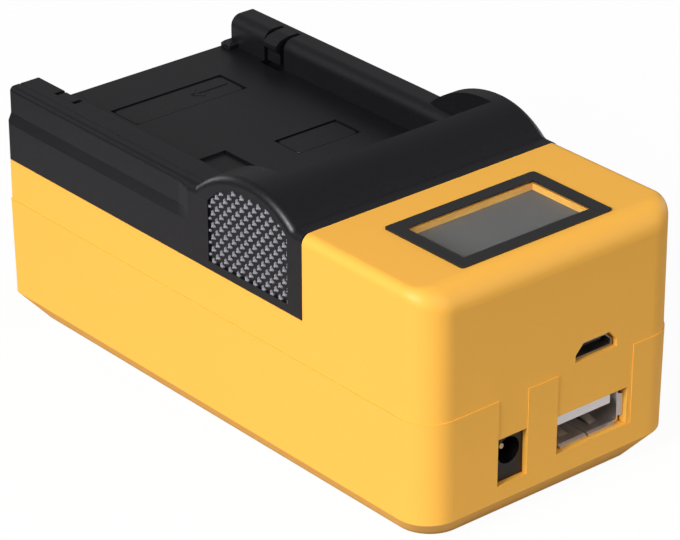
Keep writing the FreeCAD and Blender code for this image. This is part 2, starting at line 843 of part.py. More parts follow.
def main_board():
    """Board of the low sockets, notched for the foot of the jack."""
    hole = post_screw_radius + board_hole_clearance
    holes = [(hole, side * post_x, rear_post_y) for side in (-1, 1)]
    slab = board(main_board_half, (board_front_y, main_board_rear_y),
                 (main_board_z, main_board_top), holes)
    c = jack_notch_clearance
    notch = box((dc_opening_x[0] - c, dc_opening_x[1] + c), (board_front_y - 1, jack_y[1] + c),
                (main_board_z - 1, main_board_top + 1))
    return cut(slab, notch)


def usb_lips():
    """Four strips at the mouth of the USB-A shell, bent outwards."""
    w = usb_shell_width / 2
    h = usb_shell_height / 2
    t = usb_sheet
    mouth = usb_shell_y[0]
    tip = mouth - usb_lip_length
    lips = []
    for side in (-1, 1):
        x = usb_x + side * w
        flare = side * usb_lip_flare[0]
        points = [(x, mouth), (x - side * t, mouth), (x - side * t + flare, tip), (x + flare, tip)]
        lips.append(plan_prism(points, (usb_z - h + usb_lip_inset, usb_z + h - usb_lip_inset)))
        z = usb_z + side * h
        flare = side * usb_lip_flare[1]
        points = [(mouth, z), (mouth, z - side * t), (tip, z - side * t + flare), (tip, z + flare)]
        lips.append(side_prism(points, (usb_x - w + usb_lip_inset, usb_x + w - usb_lip_inset)))
    return lips


def usb_a_shell():
    """Folded steel shell with a seam underneath, bent lips and two grip fingers."""
    w = usb_shell_width / 2
    h = usb_shell_height / 2
    t = usb_sheet
    y = usb_shell_y
    floor = usb_z - h
    outer = box((usb_x - w, usb_x + w), y, (floor, usb_z + h))
    inner = box((usb_x - w + t, usb_x + w - t), (y[0] - 1, y[1] - t), (floor + t, usb_z + h - t))
    seam = box((usb_x - usb_seam / 2, usb_x + usb_seam / 2), (y[0] - 1, y[1] - t),
               (floor - 1, floor + t))
    shell = cut(fuse(cut(outer, inner), *usb_lips()), seam)
    root, crest, tip = [y[0] + run for run in usb_spring_run]
    top = floor + usb_spring_rise
    half = usb_spring_width / 2
    room = half + usb_spring_clearance
    fingers = []
    for side in (-1, 1):
        x = usb_x + side * usb_spring_offset
        window = box((x - room, x + room), (root, tip + usb_spring_clearance), (floor - 1, floor + t))
        shell = cut(shell, window)
        points = [(root, floor), (crest, top), (tip, top - t), (tip, top), (crest, top + t),
                  (root, floor + t)]
        fingers.append(side_prism(points, (x - half, x + half)))
    return fuse(shell, *fingers)


def usb_a_tongue():
    """Insulator: a rear block that fills the shell and a thin tongue below its top."""
    w = usb_shell_width / 2 - usb_sheet
    h = usb_shell_height / 2 - usb_sheet
    half = usb_tongue_width / 2
    root = usb_tongue_y + usb_tongue_length
    tongue = box((usb_x - half, usb_x + half), (usb_tongue_y, root),
                 (usb_tongue_low_z, usb_tongue_low_z + usb_tongue_thickness))
    back = box((usb_x - w, usb_x + w), (root, usb_shell_y[1] - usb_sheet), (usb_z - h, usb_z + h))
    return fuse(tongue, back)


def usb_a_contacts():
    """Four bowed contacts under the tongue."""
    root = usb_tongue_y + usb_tongue_length
    toe, rise, fall, heel = [usb_tongue_y + run for run in usb_contact_run]
    low = usb_tongue_low_z
    flat = low - usb_contact_thickness
    bow = flat - usb_contact_bow
    half = usb_contact_width / 2
    points = [(toe, low), (rise, bow), (fall, bow), (heel, flat), (root, flat), (root, low)]
    strips = [side_prism(points, (usb_x + offset - half, usb_x + offset + half))
              for offset in usb_contact_offsets]
    return Part.makeCompound(strips)


def micro_usb_shell():
    z = control_board_top
    y = micro_shell_y
    t = micro_sheet
    outer = micro_section(micro_shell_width, micro_shell_height, micro_shell_step,
                          micro_shell_top, z, micro_x)
    inner = micro_section(micro_shell_width - 2 * t, micro_shell_height - 2 * t,
                          micro_shell_step - t / 2, micro_shell_top - t, z + t, micro_x)
    return cut(front_prism(outer, y), front_prism(inner, (y[0] - 1, y[1] - t)))


def micro_usb_tongue():
    """Insulator with a thin tongue in the upper half of the socket."""
    t = micro_sheet
    y0 = micro_shell_y[0]
    y1 = micro_shell_y[1] - t
    z = control_board_top + t
    back = micro_section(micro_shell_width - 2 * t, micro_shell_height - 2 * t,
                         micro_shell_step - t / 2, micro_shell_top - t, z, micro_x)
    middle = z + (micro_shell_height - 2 * t) / 2
    half = micro_tongue_width / 2
    tongue = box((micro_x - half, micro_x + half), (y0 + micro_tongue_setback, y1),
                 (middle, middle + micro_tongue_thickness))
    return fuse(front_prism(back, (y1 - micro_back_length, y1)), tongue)


def jack_rod(radius, y):
    """Round bar on the axis of the jack."""
    return Part.makeCylinder(radius, y[1] - y[0], V(jack_x, y[0], jack_bore_z), V(0, 1, 0))


def dc_jack_body():
    """Moulded jack: its nose fills the opening and its shoulders rest on the board."""
    nose = box((dc_opening_x[0] + jack_fit, dc_opening_x[1] - jack_fit), jack_y,
               (dc_opening_z[0] + jack_fit, dc_opening_z[1] - jack_fit))
    half = jack_width / 2
    shoulders = box((jack_x - half, jack_x + half), (jack_shoulder_y, jack_y[1]),
                    (main_board_top, dc_opening_z[1] + jack_roof))
    rise = jack_spring_height / 2 + jack_spring_clearance
    bore_end = jack_y[0] + jack_bore_depth
    room = box((jack_x - jack_bore_radius - jack_spring_thickness, jack_x),
               (jack_y[0] + jack_spring_setback, bore_end), (jack_bore_z - rise, jack_bore_z + rise))
    bore = jack_rod(jack_bore_radius, (jack_y[0] - 1, bore_end))
    return cut(fuse(nose, shoulders), bore, room, jack_rod(jack_pin_radius, jack_y))


def dc_jack_pin():
    """Centre pin with a bevelled tip, held in the back of the jack."""
    length = jack_length - jack_pin_setback
    return bevelled_rod(jack_pin_radius, length, V(jack_x, jack_y[1], jack_bore_z), V(0, -1, 0),
                        jack_pin_radius / 2)


def dc_jack_spring():
    """Leaf contact along the left wall of the jack's bore."""
    x = jack_x - jack_bore_radius - jack_spring_thickness
    t = jack_spring_thickness
    y0 = jack_y[0] + jack_spring_setback
    crest = y0 + jack_spring_run
    heel = crest + jack_spring_run
    y1 = jack_y[0] + jack_bore_depth
    points = [
        (x, y0), (x + t, y0), (x + t + jack_spring_bow, crest), (x + t, heel), (x + t, y1), (x, y1),
        (x, heel), (x + jack_spring_bow, crest),
    ]
    half = jack_spring_height / 2
    return plan_prism(points, (jack_bore_z - half, jack_bore_z + half))


def screws(places, turn, shank, head, socket):
    """Screws with hexagon sockets at (x, y, seat z); a turn of 1 points the shanks up, -1 down."""
    group = []
    for x, y, seat in places:
        tip = seat + turn * shank[1]
        crown = seat - turn * head[1]
        pin = post(shank[0], x, y, sorted((seat, tip)))
        cap = post(head[0], x, y, sorted((seat, crown)))
        corners = []
        for index in range(6):
            angle = math.pi / 3 * index
            corners.append((x + socket[0] * math.cos(angle), y + socket[0] * math.sin(angle)))
        drive = plan_prism(corners, sorted((crown, crown + turn * socket[1])))
        group.append(cut(fuse(pin, cap), drive))
    return Part.makeCompound(group)


def case_screws():
    places = [(side * front_boss_x, front_boss_y, front_counterbore) for side in (-1, 1)]
    places += [(side * rear_boss_x, rear_boss_y, rear_counterbore) for side in (-1, 1)]
    return screws(places, 1, (case_screw_radius, case_screw_length),
                  (screw_head_radius, screw_head_height),
                  (screw_socket_radius, screw_socket_depth))


def main_board_screws():
    places = [(side * post_x, rear_post_y, main_board_top) for side in (-1, 1)]
    return screws(places, -1, (post_screw_radius, post_screw_length),
                  (post_screw_head_radius, post_screw_head_height),
                  (post_screw_socket_radius, post_screw_socket_depth))


def plug_housing():
    """Open-bottomed box in the floor of the lower case that the plug folds into."""
    body = plug_opening(0).common(lower_body(0))
    recess = box((-recess_half, recess_half), (recess_front_y, recess_rear_y), (-1, recess_top_z))
    notch_y = (recess_front_y - thumb_notch_depth, recess_front_y)
    reach = recess_half + stub_length + stub_end_gap
    stubs = Part.makeCylinder(stub_radius + stub_clearance, 2 * reach, V(-reach, hinge_y, hinge_z),
                              V(1, 0, 0))
    slots = []
    for x in blade_centres:
        half = mains_spring_width / 2 + mains_slot_clearance
        depth = mains_spring_thickness / 2 + mains_slot_clearance
        slots.append(box((x - half, x + half), (hinge_y - depth, hinge_y + depth),
                         (recess_top_z - 1, recess_top_z + housing_wall + 1)))
    thumb = box((-thumb_notch_half, thumb_notch_half), notch_y, (-1, recess_top_z / 2))
    return cut(body, recess, stubs, thumb, *slots)


def plug_carrier():
    """Turning barrel of the plug with a flat nose, two stub pins and slots for the blades."""
    x = recess_half - carrier_side_gap
    barrel = Part.makeCylinder(hinge_barrel_radius, 2 * x, V(-x, hinge_y, hinge_z), V(1, 0, 0))
    nose = box((-x, x), (hinge_y - hinge_nose, hinge_y),
               (hinge_z - hinge_barrel_radius, hinge_z + hinge_barrel_radius))
    reach = x + carrier_side_gap + stub_length
    stub = Part.makeCylinder(stub_radius, 2 * reach, V(-reach, hinge_y, hinge_z), V(1, 0, 0))
    return cut(fuse(barrel, nose, stub), plug_blades())


def plug_blades():
    """Two flat blades with chamfered tips, their roots set in the carrier."""
    tip = hinge_y - hinge_nose - blade_length
    root = tip + blade_length + blade_root
    w = blade_width / 2
    c = blade_tip_chamfer
    points = [(root, -w), (root, w), (tip + c, w), (tip, w - c), (tip, c - w), (tip + c, -w)]
    blades = []
    for x in blade_centres:
        span = (x - blade_thickness / 2, x + blade_thickness / 2)
        blades.append(side_prism([(y, hinge_z + z) for y, z in points], span))
    return Part.makeCompound(blades)


def mains_springs():
    """Two contact strips that hang from the power board over the roots of the blades."""
    low = hinge_z + hinge_barrel_radius + mains_spring_gap
    strips = []
    for x in blade_centres:
        half = mains_spring_width / 2
        strips.append(box((x - half, x + half),
                          (hinge_y - mains_spring_thickness / 2, hinge_y + mains_spring_thickness / 2),
                          (low, power_board_z)))
    return Part.makeCompound(strips)


def transformer_core():
    """Two-window ferrite core standing on the power board."""
    x = core_width / 2
    z0 = power_board_top
    y = (core_y - core_depth / 2, core_y + core_depth / 2)
    block = box((-x, x), y, (z0, z0 + core_height))
    windows = []
    for side in (-1, 1):
        span = sorted((side * core_leg / 2, side * (x - core_yoke)))
        windows.append(box(span, (y[0] - 1, y[1] + 1), (z0 + core_yoke, z0 + core_height - core_yoke)))
    return cut(block, *windows)


def transformer_winding():
    """Taped winding around the middle leg of the core."""
    x = core_width / 2 - core_yoke - winding_gap
    y = (core_y - core_depth / 2 - winding_overhang, core_y + core_depth / 2 + winding_overhang)
    z = (power_board_top + core_yoke + winding_gap, power_board_top + core_height - core_yoke - winding_gap)
    coil = rounded_block((-x, x), y, z, winding_overhang / 2, winding_overhang / 2)
    leg_x = core_leg / 2 + winding_gap
    leg_y = core_depth / 2 + winding_gap
    return cut(coil, box((-leg_x, leg_x), (core_y - leg_y, core_y + leg_y), (z[0] - 1, z[1] + 1)))


def bulk_capacitor():
    """Mains capacitor lying along the power board."""
    z = power_board_top + bulk_radius + bulk_seat
    return bevelled_rod(bulk_radius, bulk_length, V(bulk_x, bulk_y, z), V(0, 1, 0), can_edge)


def output_capacitors():
    """Two capacitors standing on the power board."""
    cans = []
    for setback in output_cap_setbacks:
        foot = V(output_cap_x, power_board_front_y + setback, power_board_top)
        cans.append(bevelled_rod(output_cap_radius, output_cap_height, foot, V(0, 0, 1), can_edge))
    return Part.makeCompound(cans)


def chip(size, at, z):
    """Flat package standing on a board, with a bevelled top."""
    x = (at[0] - size[0] / 2, at[0] + size[0] / 2)
    y = (at[1] - size[1] / 2, at[1] + size[1] / 2)
    block = box(x, y, (z, z + size[2]))
    top = [edge for edge in block.Edges if edge.BoundBox.ZMin > z + size[2] - 0.01]
    return block.makeChamfer(chip_edge, top)


def power_part(size, place):
    """Package on the power board; place is (x, distance from the board's front edge)."""
    return chip(size, (place[0], power_board_front_y + place[1]), power_board_top)


def control_chip():
    """Chip on the control board, placed from the middle of the display."""
    at = (display_x + control_chip_place[0], display_y + control_chip_place[1])
    return chip(control_chip_size, at, control_board_top)


def choke_coil():
    """Wound ring lying flat on the main board."""
    z = (main_board_top, main_board_top + choke_height)
    ring = post(choke_outer_radius, choke_x, main_board_middle_y, z)
    return cut(ring, post(choke_inner_radius, choke_x, main_board_middle_y, (z[0] - 1, z[1] + 1)))


def link_pins(count, y, z):
    return square_pins(link_pin_width, [(x, y) for x in spread(count, link_pin_pitch)], z)


def pin_block_y():
    return (spring_pin_y - pin_block_depth / 2, spring_pin_y + pin_block_depth / 2)


def contact_pin_block():
    """Block on the control board that carries the spring pins."""
    top = deck_top_z - deck_skin - pin_block_gap
    block = box((-pin_block_half, pin_block_half), pin_block_y(), (control_board_top, top))
    width = spring_pin_width + 2 * spring_pin_clearance
    floor = plate_board_z - spring_pin_rise - spring_pin_reach - spring_pin_travel
    bores = [pillar(width, x, spring_pin_y, (floor, top + 1))
             for x in spread(spring_pin_count, spring_pin_pitch)]
    return cut(block, *bores)


def contact_pins():
    """Square pins with bevelled tips that press up against the pads of the plate."""
    top = plate_board_z - spring_pin_rise
    low = top - spring_pin_reach
    half = spring_pin_width / 2
    tip = half - spring_pin_tip
    pins = []
    for x in spread(spring_pin_count, spring_pin_pitch):
        points = [(x - half, low), (x + half, low), (x + half, top - spring_pin_tip), (x + tip, top),
                  (x - tip, top), (x - half, top - spring_pin_tip)]
        pins.append(front_prism(points, (spring_pin_y - half, spring_pin_y + half)))
    return Part.makeCompound(pins)


def arc_points(cy, cz, radius, start, end, x):
    """Three points of an arc in a side view; angles in degrees from +Y towards +Z."""
    angles = [math.radians(a) for a in (start, (start + end) / 2, end)]
    return tuple(V(x, cy + radius * math.cos(a), cz + radius * math.sin(a)) for a in angles)


def hump_block():
    """Front of the plate: a barrel across its full width with both ends rounded over."""
    x = -shell_half
    foot_angle = math.degrees(math.atan2(hump_foot_z - hump_front_z, hump_foot_y - hump_axis_y))
    heel_angle = math.degrees(math.atan2(hump_heel_z - hump_rear_z, hump_heel_y - hump_axis_y))
    foot = arc_points(hump_foot_y, hump_foot_z, hump_foot_fillet, -90, foot_angle - 180, x)
    front = arc_points(hump_axis_y, hump_front_z, hump_front_radius, foot_angle, 90, x)
    rear = arc_points(hump_axis_y, hump_rear_z, hump_rear_radius, 90, heel_angle, x)
    heel = arc_points(hump_heel_y, hump_heel_z, hump_heel_fillet, heel_angle - 180, -90, x)
    low_front = V(x, plate_front_y, plate_bottom_z)
    top_front = V(x, plate_front_y, head_top_z)
    top_rear = V(x, ledge_fade_start_y, rail_top_z)
    low_rear = V(x, ledge_fade_start_y, plate_bottom_z)
    chain = [(low_front, top_front), (top_front, foot[0]), foot, front, rear, heel,
             (heel[2], top_rear), (top_rear, low_rear), (low_rear, low_front)]
    solid = Part.Face(joined(chain)).extrude(V(2 * shell_half, 0, 0))
    ends = []
    for edge in solid.Edges:
        side = edge.BoundBox.XLength < 0.01
        upper = edge.BoundBox.ZMin > rail_top_z - 0.01
        if side and upper and edge.BoundBox.YLength > 0.01:
            ends.append(edge)
    return solid.makeFillet(hump_end_round, ends)


def rail_section(y, depth, top_round):
    """Cross-section of the plate behind the hump, with a ledge along each side."""
    w = shell_half
    k = top_round * (1 - math.sqrt(0.5))
    side = w - depth
    right = [
        (V(w, y, plate_bottom_z), V(w, y, ledge_low_z)),
        (V(w, y, ledge_low_z), V(side, y, ledge_high_z)),
        (V(side, y, ledge_high_z), V(side, y, rail_top_z - top_round)),
        (V(side, y, rail_top_z - top_round), V(side - k, y, rail_top_z - k),
         V(side - top_round, y, rail_top_z)),
    ]
    left = [tuple(V(-p.x, p.y, p.z) for p in reversed(entry)) for entry in reversed(right)]
    top = [(right[-1][2], left[0][0])]
    bottom = [(left[-1][-1], right[0][0])]
    return joined(right + top + left + bottom)


def rail_block():
    """Rear of the plate, its side ledges fading out towards the hump."""
    near = rail_section(ledge_fade_start_y, 0, hump_end_round)
    full = rail_section(ledge_fade_end_y, ledge_depth, rail_outer_round)
    fade = Part.makeLoft([near, full], True, True)
    length = shell_rear_y - ledge_fade_end_y
    return fuse(fade, Part.Face(full).extrude(V(0, length, 0)))


def rear_ledges():
    """Steps in the rear ends of both rails, level with the side ledges."""
    y = shell_rear_y
    inner = y - rear_ledge_depth
    points = [(y + 1, ledge_low_z), (y, ledge_low_z), (inner, ledge_high_z), (inner, hump_top_z),
              (y + 1, hump_top_z)]
    return [side_prism(points, (-half_width, bay_left_x)), side_prism(points, (bay_right_x, half_width))]


def bay_cut():
    """Battery bay: open to the rear and the top, with rounded inner rail edges."""
    top = hump_top_z + 1
    lr = left_rail_round
    rr = right_rail_round
    k = math.sqrt(0.5)
    y = bay_front_y
    z0 = plate_floor_z
    zt = rail_top_z
    left_mid = V(bay_left_x - lr + lr * k, y, zt - lr + lr * k)
    right_mid = V(bay_right_x + rr - rr * k, y, zt - rr + rr * k)
    chain = [
        (V(bay_left_x, y, z0), V(bay_right_x, y, z0)),
        (V(bay_right_x, y, z0), V(bay_right_x, y, zt - rr)),
        (V(bay_right_x, y, zt - rr), right_mid, V(bay_right_x + rr, y, zt)),
        (V(bay_right_x + rr, y, zt), V(bay_right_x + rr, y, top)),
        (V(bay_right_x + rr, y, top), V(bay_left_x - lr, y, top)),
        (V(bay_left_x - lr, y, top), V(bay_left_x - lr, y, zt)),
        (V(bay_left_x - lr, y, zt), left_mid, V(bay_left_x, y, zt - lr)),
        (V(bay_left_x, y, zt - lr), V(bay_left_x, y, z0)),
    ]
    return Part.Face(joined(chain)).extrude(V(0, rear_y - bay_front_y + 1, 0))


def grip_window(side):
    """Recess for the grip in one end of the hump: a flat foot under a barrel arc."""
    radius = hump_front_radius - grip_rim
    x = side * (shell_half - grip_depth)
    low = shoulder_z + grip_sill
    rear_y = hump_axis_y + grip_rear_reach
    near_y = hump_axis_y - grip_front_reach
    rear = V(x, rear_y, hump_front_z + math.sqrt(radius ** 2 - grip_rear_reach ** 2))
    near = V(x, near_y, hump_front_z + math.sqrt(radius ** 2 - grip_front_reach ** 2))
    middle = V(x, hump_axis_y, hump_front_z + radius)
    low_rear = V(x, rear_y, low)
    low_near = V(x, near_y, low)
    chain = [(low_near, low_rear), (low_rear, rear), (rear, middle, near), (near, low_near)]
    return Part.Face(joined(chain)).extrude(V(side * (grip_depth + 1), 0, 0))


def slide_room():
    """Space inside the plate for the deck that it slides on."""
    wide = deck_flange_half + slide_clearance
    narrow = deck_neck_half + slide_clearance
    y = (plate_front_y - 1, shell_rear_y - plate_rear_wall)
    upper = box((-wide, wide), y, (deck_flange_z - slide_clearance, plate_ceiling_z))
    lower = box((-narrow, narrow), y, (plate_bottom_z - 1, deck_flange_z))
    return fuse(upper, lower)


def contact_chamber():
    """Room under the hump for the contacts, under a roof that follows the barrel."""
    roof = hump_front_radius - chamber_roof_thickness
    barrel = Part.makeCylinder(roof, 2 * chamber_half, V(-chamber_half, hump_axis_y, hump_front_z),
                               V(1, 0, 0))
    room = box((-chamber_half, chamber_half), (chamber_front_y, chamber_rear_y),
               (plate_ceiling_z - 1, hump_top_z))
    relief = box((-pin_block_half, pin_block_half), (plate_front_y - 1, chamber_front_y + 1),
                 (plate_ceiling_z - 1, plate_board_z + relief_clearance))
    return room.common(barrel), relief


def contact_blades(clearance=0.0):
    """Upright contact blades through the wall at the front of the bay."""
    y = (chamber_rear_y - contact_tail, bay_front_y + contact_reach)
    half = contact_thickness / 2 + clearance
    z = (contact_low_z - clearance, contact_low_z + contact_height + clearance)
    return [box((x - half, x + half), y, z) for x in spread(contact_count, contact_pitch)]


def battery_contacts():
    blades = []
    for blade in contact_blades():
        tip = [edge for edge in blade.Edges
               if edge.BoundBox.YMin > bay_front_y + contact_reach - 0.01
               and edge.BoundBox.ZLength < 0.01]
        blades.append(blade.makeChamfer(contact_tip_edge, tip))
    return Part.makeCompound(blades)


def contact_holder():
    """Moulded block in the chamber that grips the tails of the contact blades."""
    z = (plate_board_z + plate_board_thickness, plate_board_z + plate_board_thickness + holder_height)
    y = (chamber_rear_y - contact_tail - holder_wrap, chamber_rear_y - holder_gap)
    return cut(box((-holder_half, holder_half), y, z), *contact_blades())


def plate_board():
    c = plate_board_clearance
    x = chamber_half - c
    y = (chamber_front_y + c, chamber_rear_y - c)
    z = (plate_board_z, plate_board_z + plate_board_thickness)
    width = stake_width + 2 * stake_clearance
    holes = [pillar(width, side * stake_x, sum(y) / 2, (z[0] - 1, z[1] + 1)) for side in (-1, 1)]
    return cut(board(x, y, z, []), *holes)


def catch_pocket(wall_x, root_x, y, slot):
    """Slots and clearance that free a spring finger from its rail."""
    out = 1 if root_x > 0 else -1
    leg_back = wall_x + out * (catch_leg_thickness + catch_pocket_depth)
    behind = box(sorted((wall_x - out, leg_back)), (y[0] - slot, y[1] + slot),
                 (plate_floor_z - catch_pocket_sink, rail_top_z + 1))
    over = box(sorted((wall_x - out, root_x)), (y[0] - slot, y[1] + slot),
               (rail_top_z - catch_top_thickness - catch_top_gap, rail_top_z + 1))
    return fuse(behind, over)


def battery_catch(wall_x, root_x, y, top_round):
    """Spring finger: a strip from its root in the rail, then a leg with a nose on it."""
    out = 1 if root_x > 0 else -1
    root = root_x - out * catch_root_gap
    low = rail_top_z - catch_top_thickness
    foot = plate_floor_z + catch_foot_gap
    back = wall_x + out * catch_leg_thickness
    tip = wall_x - out * catch_nose
    points = [
        (root, low), (root, rail_top_z), (wall_x + out * top_round, rail_top_z),
        (wall_x, rail_top_z - catch_crown_drop), (tip, low + catch_nose_top),
        (tip, low - catch_nose_low), (wall_x, low - catch_nose_foot), (wall_x, foot),
        (back, foot), (back, low),
    ]
    return front_prism(points, y)


def foot_lug():
    """Small bevelled lug at the rear end of the right rail."""
    x = (bay_right_x - foot_lug_width, bay_right_x + foot_lug_root)
    y = (shell_rear_y - foot_lug_length, shell_rear_y - foot_lug_end_gap)
    top = plate_floor_z + foot_lug_height
    block = box(x, y, (plate_floor_z - panel_depth, top))
    rim = [edge for edge in block.Edges if edge.BoundBox.ZMin > top - 0.01]
    return block.makeChamfer(foot_lug_edge, rim)


def floor_panels():
    """Shallow recesses in the floor of the bay."""
    z = (plate_floor_z - panel_depth, plate_floor_z + 1)
    return [box(front_panel_x, front_panel_y, z), box(rear_panel_x, rear_panel_y, z),
            box(step_panel_x, step_panel_y, z)]


def rail_crease():
    """Fine groove along the top of the left rail."""
    half = rail_crease_width / 2
    points = [(rail_crease_x - half, rail_top_z + 0.01), (rail_crease_x, rail_top_z - rail_crease_depth),
              (rail_crease_x + half, rail_top_z + 0.01)]
    return front_prism(points, (hump_heel_y, rear_y))


def battery_plate():
    """Black moulding that takes the battery and slides onto the deck of the case."""
    body = fuse(hump_block(), rail_block())
    limits = rounded_block((-shell_half, shell_half), (shell_front_y, shell_rear_y),
                           (0, hump_top_z + 1), shell_front_radius, shell_rear_radius)
    body = body.common(limits)
    room, relief = contact_chamber()
    body = cut(body, bay_cut(), slide_room(), room, relief, grip_window(-1), grip_window(1))
    body = cut(body, rail_crease(), *(floor_panels() + rear_ledges()))
    body = cut(body, *contact_blades(contact_slot_clearance))
    stakes = []
    for side in (-1, 1):
        y = (chamber_front_y + chamber_rear_y) / 2
        top = plate_board_z + plate_board_thickness
        stakes.append(pillar(stake_width, side * stake_x, y, (plate_board_z, top)))
        roof = hump_top_z - chamber_roof_thickness
        stakes.append(pillar(stake_shoulder_width, side * stake_x, y, (top, roof)))
    stakes = [stake.common(hump_block()) for stake in stakes]
    body = fuse(body, foot_lug(), *stakes)
    right = catch_pocket(bay_right_x, right_catch_root_x, right_catch_y, right_catch_slot)
    left = catch_pocket(bay_left_x, left_catch_root_x, left_catch_y, left_catch_slot)
    return cut(body, right, left)


nodes = {
    "lower_case": lower_case(),
    "upper_case": upper_case(),
    "display_bezel": display_bezel(),
    "display_window": display_window(),
    "lcd_panel": lcd_panel(),
    "lcd_holder": lcd_holder(),
    "lcd_pins": lcd_pins(),
    "control_board": control_board(),
    "power_board": power_board(),
    "main_board": main_board(),
    "usb_a_shell": usb_a_shell(),
    "usb_a_tongue": usb_a_tongue(),
    "usb_a_contacts": usb_a_contacts(),
    "micro_usb_shell": micro_usb_shell(),
    "micro_usb_tongue": micro_usb_tongue(),
    "dc_jack_body": dc_jack_body(),
    "dc_jack_pin": dc_jack_pin(),
    "dc_jack_spring": dc_jack_spring(),
    "case_screws": case_screws(),
    "main_board_screws": main_board_screws(),
    "plug_housing": plug_housing(),
    "plug_carrier": plug_carrier(),
    "plug_blades": plug_blades(),
    "mains_springs": mains_springs(),
    "transformer_core": transformer_core(),
    "transformer_winding": transformer_winding(),
    "bulk_capacitor": bulk_capacitor(),
    "output_capacitors": output_capacitors(),
    "bridge_rectifier": power_part(rectifier_size, rectifier_place),
    "power_switch": power_part(switch_size, switch_place),
    "fuse": power_part(fuse_size, fuse_place),
    "choke_coil": choke_coil(),
    "charge_chip": chip(charge_chip_size, (charge_chip_x, main_board_middle_y), main_board_top),
    "control_chip": control_chip(),
    "signal_pins": link_pins(signal_pin_count, signal_pin_y, (main_board_top, control_board_z)),
    "power_pins": link_pins(power_pin_count, power_pin_y, (main_board_top, power_board_z)),
    "contact_pin_block": contact_pin_block(),
    "contact_pins": contact_pins(),
    "battery_plate": battery_plate(),
    "battery_contacts": battery_contacts(),
    "contact_holder": contact_holder(),
    "plate_board": plate_board(),
    "battery_catch_right": battery_catch(bay_right_x, right_catch_root_x, right_catch_y, right_rail_round),
    "battery_catch_left": battery_catch(bay_left_x, left_catch_root_x, left_catch_y, left_rail_round),
}

os.makedirs("parts", exist_ok=True)
for name, shape in nodes.items():
    shape.exportStep("parts/" + name + ".step")
    print("%-22s solids %d volume %.2f valid %s" % (name, len(shape.Solids), shape.Volume, shape.isValid()))
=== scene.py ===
"""Looks of a palm-sized camera battery charger.

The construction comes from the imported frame. This script dresses every piece, adds the fine
moulded detail (grip studs, panel tablets, arrow) and sets up a plain studio with the camera at the
photograph's angle. Lengths are in millimetres where a name ends in _mm, and in metres otherwise.
"""

import json
import logging
import math
from collections.abc import Callable
from dataclasses import dataclass
from enum import Enum

import bpy
from mathutils import Matrix, Vector

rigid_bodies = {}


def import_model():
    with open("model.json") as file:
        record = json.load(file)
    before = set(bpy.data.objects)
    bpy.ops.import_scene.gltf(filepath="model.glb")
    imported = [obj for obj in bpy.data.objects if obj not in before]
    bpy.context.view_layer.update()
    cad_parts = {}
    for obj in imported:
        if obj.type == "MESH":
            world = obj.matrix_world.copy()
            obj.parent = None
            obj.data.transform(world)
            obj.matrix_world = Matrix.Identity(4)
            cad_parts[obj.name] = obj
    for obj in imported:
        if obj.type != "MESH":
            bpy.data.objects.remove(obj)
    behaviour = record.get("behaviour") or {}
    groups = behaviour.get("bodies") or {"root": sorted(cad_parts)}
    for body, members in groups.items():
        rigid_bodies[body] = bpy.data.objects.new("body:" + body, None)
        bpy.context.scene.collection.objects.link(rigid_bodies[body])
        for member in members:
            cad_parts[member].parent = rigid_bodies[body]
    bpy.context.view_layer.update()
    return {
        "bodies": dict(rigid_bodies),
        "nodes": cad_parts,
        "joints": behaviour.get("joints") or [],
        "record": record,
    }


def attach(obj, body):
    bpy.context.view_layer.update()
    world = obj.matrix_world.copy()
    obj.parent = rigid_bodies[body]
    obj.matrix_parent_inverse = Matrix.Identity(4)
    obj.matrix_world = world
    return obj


log = logging.getLogger("charger")
MM = 0.001
Colour = tuple[float, float, float]
Place = tuple[float, float, float]
Pair = tuple[float, float]
PURE_WHITE = (1.0, 1.0, 1.0, 1.0)
STREAK_STRETCH = 0.04
# A ray's count of bounces of one kind stays under this until the first of them.
FIRST_BOUNCE = 0.5
# Sockets of the colour Mix node, whose names repeat.
MIX_SHARE, MIX_FIRST, MIX_SECOND, MIX_RESULT = 0, 6, 7, 2


class Slot(Enum):
    """Material slots of the record that new pieces take their finish from."""

    BLACK = "black_plastic"


class Body(Enum):
    """Bodies of the frame that new pieces ride on."""

    PLATE = "plate"


class Side(Enum):
    """Sides of the charger, with the sign of x."""

    LEFT = -1
    RIGHT = 1


class Axis(Enum):
    """Axes that a pattern runs along."""

    X = 0
    Y = 1
    Z = 2


def deselect_all() -> None:
    """Leave nothing selected and no object in edit mode."""
    if bpy.context.object and bpy.context.object.mode != "OBJECT":
        bpy.ops.object.mode_set(mode="OBJECT")
    bpy.ops.object.select_all(action="DESELECT")


def take(piece: bpy.types.Object) -> None:
    """Make one object the only selected and the active one.

    Args:
        piece: The object to work on.
    """
    deselect_all()
    piece.select_set(True)
    bpy.context.view_layer.objects.active = piece


def select_vertices(piece: bpy.types.Object, test: Callable[[Vector], bool]) -> None:
    """Select the vertices that pass a test and leave the object in edit mode.

    Args:
        piece: The object being shaped.
        test: Says whether a vertex at this place is wanted.
    """
    take(piece)
    bpy.ops.object.mode_set(mode="EDIT")
    bpy.ops.mesh.select_mode(type="VERT")
    bpy.ops.mesh.select_all(action="DESELECT")
    bpy.ops.object.mode_set(mode="OBJECT")
    for vertex in piece.data.vertices:
        vertex.select = test(vertex.co)
    bpy.ops.object.mode_set(mode="EDIT")


def raise_selection(way: Place) -> None:
    """Extrude the whole mesh in edit mode and leave the new faces selected.

    Args:
        way: How far and where the new faces go.
    """
    bpy.ops.mesh.select_all(action="SELECT")
    bpy.ops.mesh.extrude_region_move(TRANSFORM_OT_translate={"value": way})


def settle(piece: bpy.types.Object) -> None:
    """Put the object's place, turn and scale into its mesh.

    Args:
        piece: The finished object.
    """
    take(piece)
    bpy.ops.object.transform_apply(location=True, rotation=True, scale=True)


